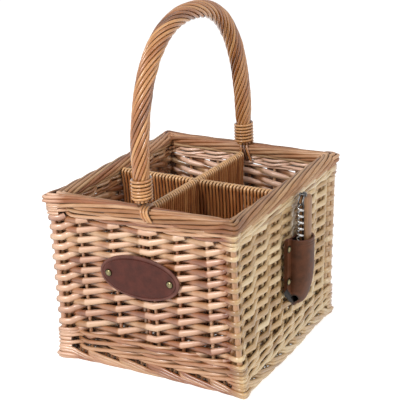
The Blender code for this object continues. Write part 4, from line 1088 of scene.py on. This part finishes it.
class BASKET_OT_handle(Operator):
    """Rope the handle over its bow, and bind and lap its feet"""
    bl_idname = "basket.handle"
    bl_label = "Handle"

    def execute(self, context):
        sizes = context.scene.basket_handle
        rng = random.Random(41)
        rods, bow, path = handle_parts(sizes, rng)
        whole = Rod(rng)
        front, back = [[wall_point(side, -0.0045, 0, z) for z in LEG_HEIGHTS] for side in (0, 2)]
        for point in front:
            whole.bend(point, LEG_RADIUS)
        whole.bends += bow.bends[1:-1]
        for point in reversed(back):
            whole.bend(point, LEG_RADIUS)
        pieces = [("roped_handle", rods, 2, "handle_roping"), ("bow_rod", [whole], 2, "handle_bow")]
        for side, name, foot, aside in ((0, "front", path[0], 0.0098), (2, "back", path[-1], 0.0)):
            pieces += [(name + "_binding", winding(rng, foot, sizes), 2, name + "_handle_binding"),
                       (name + "_lapping", lapping(rng, side, aside), 3, name + "_handle_lapping")]
        for name, rods, steps, node in pieces:
            settle(make_rods(name, rods, "roping_willow", steps=steps), [node], "handle_willow")
        return {"FINISHED"}


def skin(name, rings, surface, capped=True, smooth=40, wear_and_shade=None):
    """A closed piece through equal rings of points: a fan closes each end, or the last ring joins
    the first. Edges sharper than smooth degrees stay sharp; the last argument gives each point's value
    for rubbed wear, painted shade below nought, and a rivet's painted shadow ring."""
    bm = bmesh.new()
    lines = [[bm.verts.new(point) for point in ring] for ring in rings]
    count = len(lines[0])
    spots = [(i, (i + 1) % count) for i in range(count)]
    for one, two in zip(lines, lines[1:]):
        for i, j in spots:
            bm.faces.new((one[i], one[j], two[j], two[i]))
    first, last = lines[0], lines[-1]
    if capped:
        for ring in (first, last):
            pole = bm.verts.new(sum((vert.co for vert in ring), Vector()) / count)
            for i, j in spots:
                bm.faces.new((ring[i], ring[j], pole))
    else:
        for i, j in spots:
            bm.faces.new((first[i], first[j], last[j], last[i]))
    bmesh.ops.recalc_face_normals(bm, faces=bm.faces)
    mesh = bpy.data.meshes.new(name)
    bm.to_mesh(mesh)
    bm.free()
    if wear_and_shade:
        values = [wear_and_shade(vert.co) for vert in mesh.vertices]
        mesh.attributes.new("wear_and_shade", "FLOAT", "POINT").data.foreach_set("value", values)
    mesh.shade_smooth()
    mesh.set_sharp_from_angle(angle=math.radians(smooth))
    mesh.materials.append(finish(surface))
    return place_object(name, mesh)


def dome(name, centre, outward, radius, height):
    """A domed rivet head with a small rolled rim, which carries a painted shadow ring."""
    across = outward.orthogonal().normalized()
    other = outward.cross(across)
    rings = [hoop(centre + outward * (lift * height), across, other, reach * radius, 32)
             for reach, lift in DOME_PROFILE]

    def rim(point):
        away = point - centre
        return clamp(math.hypot(away.dot(across), away.dot(other)) / radius * 6 - 4.6)

    return skin(name, rings, "antique_brass_domes", smooth=60, wear_and_shade=rim)


def replace_rivet(node, name, outward, height=0.0022):
    """A dome in the place of a rivet's CAD solid."""
    low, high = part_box(node)
    span = max(high.z - low.z, high.y - low.y) if abs(outward.x) > 0.5 else high.z - low.z
    foot = (low + high) / 2 - outward * height / 2
    return settle(dome(name, foot, outward, span * 0.54, height), [node], "antique_brass")


class BASKET_OT_badge(Operator):
    """Cut the oval leather badge with its pressed line, and set its rivets"""
    bl_idname = "basket.badge"
    bl_label = "Badge"

    def execute(self, context):
        sizes = context.scene.basket_leather
        low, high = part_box("badge_plate")
        centre = (low + high) / 2
        upright = Matrix.Rotation(math.atan2(RIM_CORNER.y - BASE_HALF[1], HEIGHT), 3, "X")
        half_x, half_z = (high.x - low.x) / 2, sizes.badge_height / 2
        seat = Vector((centre.x, -(middle_reach(1, centre.z) + WALL_HALF + FIT_GAP), centre.z))
        line, depth, thick = sizes.line_inset, sizes.line_depth, sizes.thickness
        # The rounded edge, the pressed line and the face as (inset, rise)
        section = ((0.0012, 0.0), (0.0003, 0.0003), (0.0, thick * 0.45), (0.0003, thick * 0.75),
                   (0.0011, thick * 0.94), (0.0021, thick), (line - 0.0009, thick),
                   (line - 0.0004, thick - depth), (line + 0.0003, thick - depth),
                   (line + 0.0008, thick + 0.0001), (line + 0.0022, thick + 0.0002),
                   (0.012, thick + 0.0001), (0.019, thick), (0.0235, thick - 0.0001))
        turns = [2 * math.pi * i / 96 for i in range(96)]
        rings = [[seat + upright @ Vector(((half_x - inset) * math.cos(turn), -rise,
                                           (half_z - inset) * math.sin(turn))) for turn in turns]
                 for inset, rise in section]

        def wear_and_shade(point):
            x, z = (point.x - centre.x) / half_x, (point.z - centre.z) / half_z
            return clamp((math.hypot(x, z) - 0.84) * 7)

        settle(skin("badge_leather", rings, "waxed_leather", wear_and_shade=wear_and_shade), ["badge_plate"],
               "brown_leather")
        for name in ("left", "right"):
            replace_rivet("badge_rivet_" + name, "badge_dome_" + name,
                          upright @ Vector((0, -1, 0)))
        return {"FINISHED"}


# The sheath in the frame of its seat: (out, along, up)
SHEATH = {"y": -0.0020, "flange": 0.0093, "width": 0.0388, "depth": 0.0222, "leather": 0.0022,
          "mouth": 0.1466, "drop": 0.0028, "heel": 0.079, "tip": 0.059, "tip_width": 0.0145,
          "tip_depth": 0.012, "taper": 0.35, "bulge": 2.5, "back_rise": 0.0078, "toe_cut": 0.0160,
          "corner": 0.0035}


def seat_point(out, along, up):
    """A point of the sheath or the corkscrew in the frame of the packed model."""
    lean = math.atan2(RIM_CORNER.x - BASE_HALF[0], HEIGHT)
    turned = Matrix.Rotation(lean, 3, "Y") @ Vector((out, along, up))
    return turned + Vector((middle_reach(0, 0) + WALL_HALF + FIT_GAP, SHEATH["y"], 0))


def sheath_outline(width, depth, inset, arc=22):
    """Outline of the folded leather seen from above, from the flange round to the flange; with an
    inset it is the pocket's."""
    fold, flange, power = 2 * SHEATH["leather"], SHEATH["flange"], 2 / SHEATH["bulge"]
    middle, deep = width / 2, depth - inset
    first = 2 * inset if inset else -flange
    points = [(inset, first + ((width - inset) * 0.5 - first) * i / 6) for i in range(7)]
    for i in range(arc + 1):
        angle = math.pi * i / arc
        lift = math.sin(angle) ** power if 0 < i < arc else 0
        start = inset if inset or angle < math.pi / 2 else fold
        points.append((start + (deep - start) * lift,
                       middle + bowed(math.cos(angle), power) * (middle - inset)))
    if inset:
        points[-1] = (inset + (deep - inset) * 0.35, inset)
        return points + [(inset + (deep - inset) * share, inset * 1.4)
                         for share in (0.28, 0.22, 0.17, 0.12)]
    points[-1] = (fold, 0)
    return points + [(fold, -flange * share) for share in (0.35, 0.7, 0.9, 1.0)]


def sheath_rings(inset):
    """Rings of the sheath's outer or inner face, from the mouth to the toe. Two fine lines are
    pressed round the mouth, the back leaf stands higher, and the front is cut back at the toe."""
    s = SHEATH
    rings = []
    slope = (s["heel"] - s["tip"]) / (s["flange"] + s["tip_width"])
    # Close rings for the pressed lines, then wider ones
    shares = [0.0072 * i for i in range(17)]
    shares += [shares[-1] + (1 - shares[-1]) * i / 26 for i in range(1, 27)]
    for share in shares:
        late = max(0.0, share - s["taper"]) / (1 - s["taper"])
        narrow = 0.65 * (1 - math.sqrt(1 - late * late)) + 0.35 * late ** 1.5
        width = s["width"] - (s["width"] - s["tip_width"]) * narrow
        depth = s["depth"] - (s["depth"] - s["tip_depth"]) * narrow
        ring = []
        for out, along in sheath_outline(width, depth, inset):
            front, across = clamp(out / s["depth"]), clamp(along / s["width"])
            edge = max(0.0, -along - s["flange"] + s["corner"]) / s["corner"]
            corner = 1 - math.sqrt(1 - edge * edge)
            mouth = (s["mouth"] - s["drop"] * across + 0.6 * max(0.0, -along)
                     + s["back_rise"] * across ** 3 * (1 - front) ** 1.5 - s["corner"] * corner)
            toe = (s["heel"] - slope * (along + s["flange"]) - 0.0042 * across ** 0.5
                   + s["toe_cut"] * front ** 0.55 * (1 - across) ** 0.8 + 0.003 * corner)
            up = mouth + (toe - mouth) * share
            if not inset and out > s["leather"] * 2.2:
                for line in (0.0031, 0.0062):
                    out -= 0.0005 * max(0.0, 1 - abs(mouth - up - line) / 0.0009)
            ring.append(seat_point(out, along, up))
        rings.append(ring)
    return rings


class BASKET_OT_sheath(Operator):
    """Fold the leather sheath and set its rivets"""
    bl_idname = "basket.sheath"
    bl_label = "Sheath"

    def execute(self, context):
        outer, inner = sheath_rings(0), sheath_rings(SHEATH["leather"])

        def spot(point):
            return tuple(round(part, 6) for part in point)

        # Painted near-black shade on the inside and on the edge against the wall, and the mouth's edge
        # is rubbed
        dark = [point for ring in inner[1:] for point in ring] + outer[-1][:7] + outer[-1][-4:]
        rub_and_shade = {spot(point): -1.0 for point in dark}
        rub_and_shade.update((spot(point), 0.9) for point in outer[0] + inner[0])
        piece = skin("sheath_leather", outer + inner[::-1], "waxed_sheath_leather", capped=False,
                     wear_and_shade=lambda point: rub_and_shade.get(spot(point), 0.0))
        settle(piece, ["corkscrew_sheath"], "brown_leather")
        outward = (seat_point(1, 0, 0) - seat_point(0, 0, 0)).normalized()
        for name in ("lower", "upper"):
            replace_rivet("sheath_rivet_" + name, "sheath_dome_" + name, outward)
        return {"FINISHED"}


# The corkscrew in the same frame; it stands out of the wall with its grip behind the worm
SCREW = {"out": 0.0112, "grip_low": 0.0905, "grip_high": 0.1972, "grip_near": 0.0150,
         "grip_far": 0.0310, "reach": 0.0062, "spine": 0.0014, "pivot": (0.0150, 0.1990),
         "worm": 0.0078, "worm_top": 0.1905, "worm_tip": 0.1440, "worm_wide": 0.0098,
         "wire": 0.0033, "pitch": 0.0078}
# The yoke's arms as (along, up, width), and the pin as (out, radius)
YOKE_LINE = ((0.0166, 0.1994, 0.0024), (0.0157, 0.1996, 0.0036), (0.0144, 0.1990, 0.0034),
             (0.0130, 0.1978, 0.0026), (0.0116, 0.1962, 0.0023), (0.0102, 0.1944, 0.0022),
             (0.0090, 0.1924, 0.0022), (0.0081, 0.1904, 0.0022), (0.0078, 0.1888, 0.0020))
PIN_PROFILE = ((-0.0046, 0.0010), (-0.0044, 0.0019), (-0.0036, 0.0019), (-0.0036, 0.0012),
               (0.0036, 0.0012), (0.0036, 0.0019), (0.0044, 0.0019), (0.0046, 0.0010))


def scale_rings(sign):
    """Rings of one wood scale from foot to head, rounded outside and flat against the spine."""
    s = SCREW
    rings = []
    middle, half = (s["grip_near"] + s["grip_far"]) / 2, (s["grip_far"] - s["grip_near"]) / 2
    flat = s["spine"] + FIT_GAP
    for share in even_steps(0, 1, 30):
        share = 0.5 - 0.5 * math.cos(math.pi * share)
        up = s["grip_low"] + (s["grip_high"] - s["grip_low"]) * share
        end = min(up - s["grip_low"], s["grip_high"] - up)
        full = math.sqrt(max(0.0, 1 - (1 - min(1, end / 0.006)) ** 2))
        wide = half * (0.35 + 0.65 * full) * (1 - 0.05 * math.sin(math.pi * share))
        deep = (s["reach"] - flat) * (0.3 + 0.7 * full)
        section = []
        for i in range(17):
            angle = math.pi * i / 16
            lift = math.sin(angle) ** 0.7 if 0 < i < 16 else 0
            section.append((flat + deep * lift, bowed(math.cos(angle), 0.75)))
        section += [(flat, i / 3 - 1) for i in (1, 2, 4, 5)]
        rings.append([seat_point(s["out"] + sign * off, middle + sway * wide, up)
                      for off, sway in section])
    return rings


def strip_rings(line, out, thick):
    """Rings of a slim steel strip along (along, up, width) points, at a distance out of the wall."""
    rings = []
    for i, (along, up, wide) in enumerate(line):
        one, two = line[max(i - 1, 0)], line[min(i + 1, len(line) - 1)]
        way = Vector((two[0] - one[0], two[1] - one[1])).normalized()
        ring = []
        for j in range(12):
            angle = 2 * math.pi * j / 12
            over, off = bowed(math.cos(angle), 0.5) * wide / 2, bowed(math.sin(angle), 0.5) * thick / 2
            ring.append(seat_point(out + off, along - way.y * over, up + way.x * over))
        rings.append(ring)
    return rings


def worm_rings():
    """Rings of the worm's wire, from its neck under the yoke to its drawn-out point."""
    s = SCREW
    height = s["worm_top"] - s["worm_tip"]
    coil = (s["worm_wide"] - s["wire"]) / 2
    per_turn = 24
    count = round(height / s["pitch"] * per_turn)
    rings = []
    for i in range(count + 1):
        angle = 2 * math.pi * i / per_turn
        left, lead = (count - i) / per_turn, min(1, i / per_turn * 1.6)
        ahead = Vector((math.cos(angle), math.sin(angle), 0))
        round_way = Vector((-ahead.y, ahead.x, 0))
        centre = (ahead * (coil * lead * min(1, 0.55 + left))
                  + Vector((0, 0, s["worm_top"] - height * i / count)))
        climb = Vector((0, 0, coil * lead * 2 * math.pi))
        rise = round_way if lead < 0.05 else (climb + round_way * s["pitch"]).normalized()
        rings.append([seat_point(s["out"] + spot.x, s["worm"] + spot.y, spot.z) for spot in
                      hoop(centre, ahead, rise, s["wire"] / 2 * min(1, 0.2 + left), 10)])
    return rings


class BASKET_OT_corkscrew(Operator):
    """Make the folding corkscrew: steel spine, pin, yoke and worm, rounded wood scales"""
    bl_idname = "basket.corkscrew"
    bl_label = "Corkscrew"

    def execute(self, context):
        s = SCREW
        middle, wide = (s["grip_near"] + s["grip_far"]) / 2, s["grip_far"] - s["grip_near"] - 0.002
        low, high = s["grip_low"], s["grip_high"]
        spine = [(middle, low + 0.001, wide * 0.5), (middle, low + 0.005, wide),
                 (middle, high - 0.008, wide), (middle - 0.002, high - 0.002, wide * 0.7),
                 (0.0196, 0.1998, 0.0038), (0.0168, 0.2004, 0.0034), (s["pivot"][0], 0.1994, 0.0034)]
        centre, outward = seat_point(s["out"], *s["pivot"]), seat_point(1, 0, 0) - seat_point(0, 0, 0)
        across = Vector((0, 1, 0))
        pin = [hoop(centre + outward * out, across, outward.normalized().cross(across), reach, 24)
               for out, reach in PIN_PROFILE]
        arms, back = [strip_rings(YOKE_LINE, s["out"] + off, 0.0014) for off in (0.0026, -0.0026)]
        for name, rings, surface, slot, node, body in (
                ("wood_scale_inner", scale_rings(-1), "oiled_hardwood", "scale_wood",
                 "corkscrew_scale_inner", "corkscrew"),
                ("wood_scale_outer", scale_rings(1), "oiled_hardwood", "scale_wood",
                 "corkscrew_scale_outer", "corkscrew"),
                ("steel_spine", strip_rings(spine, s["out"], 2 * s["spine"]), "satin_steel",
                 "polished_steel", "corkscrew_spine", "corkscrew"),
                ("steel_pin", pin, "satin_steel", "polished_steel", "corkscrew_pivot_pin",
                 "corkscrew"),
                ("steel_yoke", arms + back[::-1], "satin_steel", "polished_steel", "worm_yoke",
                 "worm"),
                ("steel_worm", worm_rings(), "bright_steel", "polished_steel", "corkscrew_worm",
                 "worm")):
            settle(skin(name, rings, surface), [node], slot, body)
        return {"FINISHED"}


class BASKET_OT_stage(Operator):
    """Set the floor, the lights and the camera at the photograph's angle"""
    bl_idname = "basket.stage"
    bl_label = "Stage"

    def execute(self, context):
        scene = context.scene
        settings = scene.basket_stage
        scene.view_settings.view_transform = "Standard"
        white, reach = (1, 1, 1), 6.0
        mesh = bpy.data.meshes.new("studio_floor")
        mesh.from_pydata([(-reach, -reach, 0), (reach, -reach, 0), (reach, reach, 0),
                          (-reach, reach, 0)], [], [(0, 1, 2, 3)])
        # Matt paper that also glows where the camera sees it
        made, tree, _ = new_material("matt_paper_floor")
        tree.nodes.remove(tree.nodes["Principled BSDF"])
        glow = add(tree, "ShaderNodeMath", {0: self.seen_rays(tree), 1: settings.glow},
                   operation="MULTIPLY")[0]
        soft = add(tree, "ShaderNodeEmission", {"Color": white, "Strength": glow})[0]
        paper = add(tree, "ShaderNodeBsdfDiffuse", {"Color": scene.basket_colours.floor})[0]
        both = add(tree, "ShaderNodeAddShader", {0: paper, 1: soft})[0]
        connect(tree, tree.nodes["Material Output"].inputs, {"Surface": both})
        mesh.materials.append(made)
        place_object("studio_floor", mesh)

        world = bpy.data.worlds.new("studio")
        world.use_nodes = True
        scene.world = world
        tree = world.node_tree
        shine = add(tree, "ShaderNodeMix", {0: self.seen_rays(tree), 2: settings.ambient,
                                            3: 1.0})[0]
        connect(tree, tree.nodes["Background"].inputs, {"Color": white, "Strength": shine})

        for name, place, power, wide in (("key_light", KEY_PLACE, settings.key, 0.6),
                                         ("fill_light", FILL_PLACE, settings.fill, 1.2)):
            lamp = bpy.data.lights.new(name, "AREA")
            lamp.energy = power
            lamp.size = wide
            light = place_object(name, lamp)
            light.location = place
            aim = Vector((0, 0, 0.15)) - Vector(place)
            light.rotation_euler = aim.to_track_quat("-Z", "Y").to_euler()

        lens = bpy.data.cameras.new("photo_camera")
        lens.lens = settings.lens
        lens.sensor_width = 36.0
        lens.clip_end = 50.0
        turn = Matrix.Identity(3)
        for degrees, axis in CAMERA_TURNS:
            turn = turn @ Matrix.Rotation(math.radians(degrees), 3, axis)
        scene.camera = place_object("photo_camera", lens)
        scene.camera.matrix_world = Matrix.Translation(CAMERA_PLACE) @ turn.to_4x4()
        return {"FINISHED"}

    @staticmethod
    def seen_rays(tree):
        """1 for rays that the camera, a reflection or a view through glass sends."""
        path = add(tree, "ShaderNodeLightPath")
        total = path["Is Camera Ray"]
        for name in ("Is Glossy Ray", "Is Transmission Ray"):
            total = add(tree, "ShaderNodeMath", {0: total, 1: path[name]}, operation="ADD")[0]
        return add(tree, "ShaderNodeMath", {0: total, 1: 1.0}, operation="MINIMUM")[0]


OPERATORS = (BASKET_OT_walls, BASKET_OT_borders, BASKET_OT_inside, BASKET_OT_handle,
             BASKET_OT_badge, BASKET_OT_sheath, BASKET_OT_corkscrew, BASKET_OT_stage)
GROUPS = {"basket_willow": WillowSizes, "basket_handle": HandleSizes,
          "basket_leather": LeatherSizes, "basket_colours": FinishColours,
          "basket_stage": StageSettings}


class BASKET_PT_panel(Panel):
    """Lists the basket's operators and sizes."""
    bl_label = "Willow Bottle Basket"
    bl_idname = "BASKET_PT_panel"
    bl_space_type = "VIEW_3D"
    bl_region_type = "UI"
    bl_category = "Basket"

    def draw(self, context):
        for operator in OPERATORS:
            self.layout.operator(operator.bl_idname)
        for name, group in GROUPS.items():
            box = self.layout.box()
            box.label(text=group.__doc__.rstrip("."))
            for field in group.__annotations__:
                box.prop(getattr(context.scene, name), field)


def register():
    """Register the groups, the operators and the panel."""
    for item in (*GROUPS.values(), *OPERATORS, BASKET_PT_panel):
        bpy.utils.register_class(item)
    for name, group in GROUPS.items():
        setattr(bpy.types.Scene, name, PointerProperty(type=group))


def unregister():
    """Take back what register did."""
    for name in GROUPS:
        delattr(bpy.types.Scene, name)
    for item in reversed((*GROUPS.values(), *OPERATORS, BASKET_PT_panel)):
        bpy.utils.unregister_class(item)


def main():
    """Register the groups and operators, then build every group of pieces."""
    register()
    for operator in OPERATORS:
        group, name = operator.bl_idname.split(".")
        getattr(getattr(bpy.ops, group), name)()


if __name__ == "__main__":
    main()
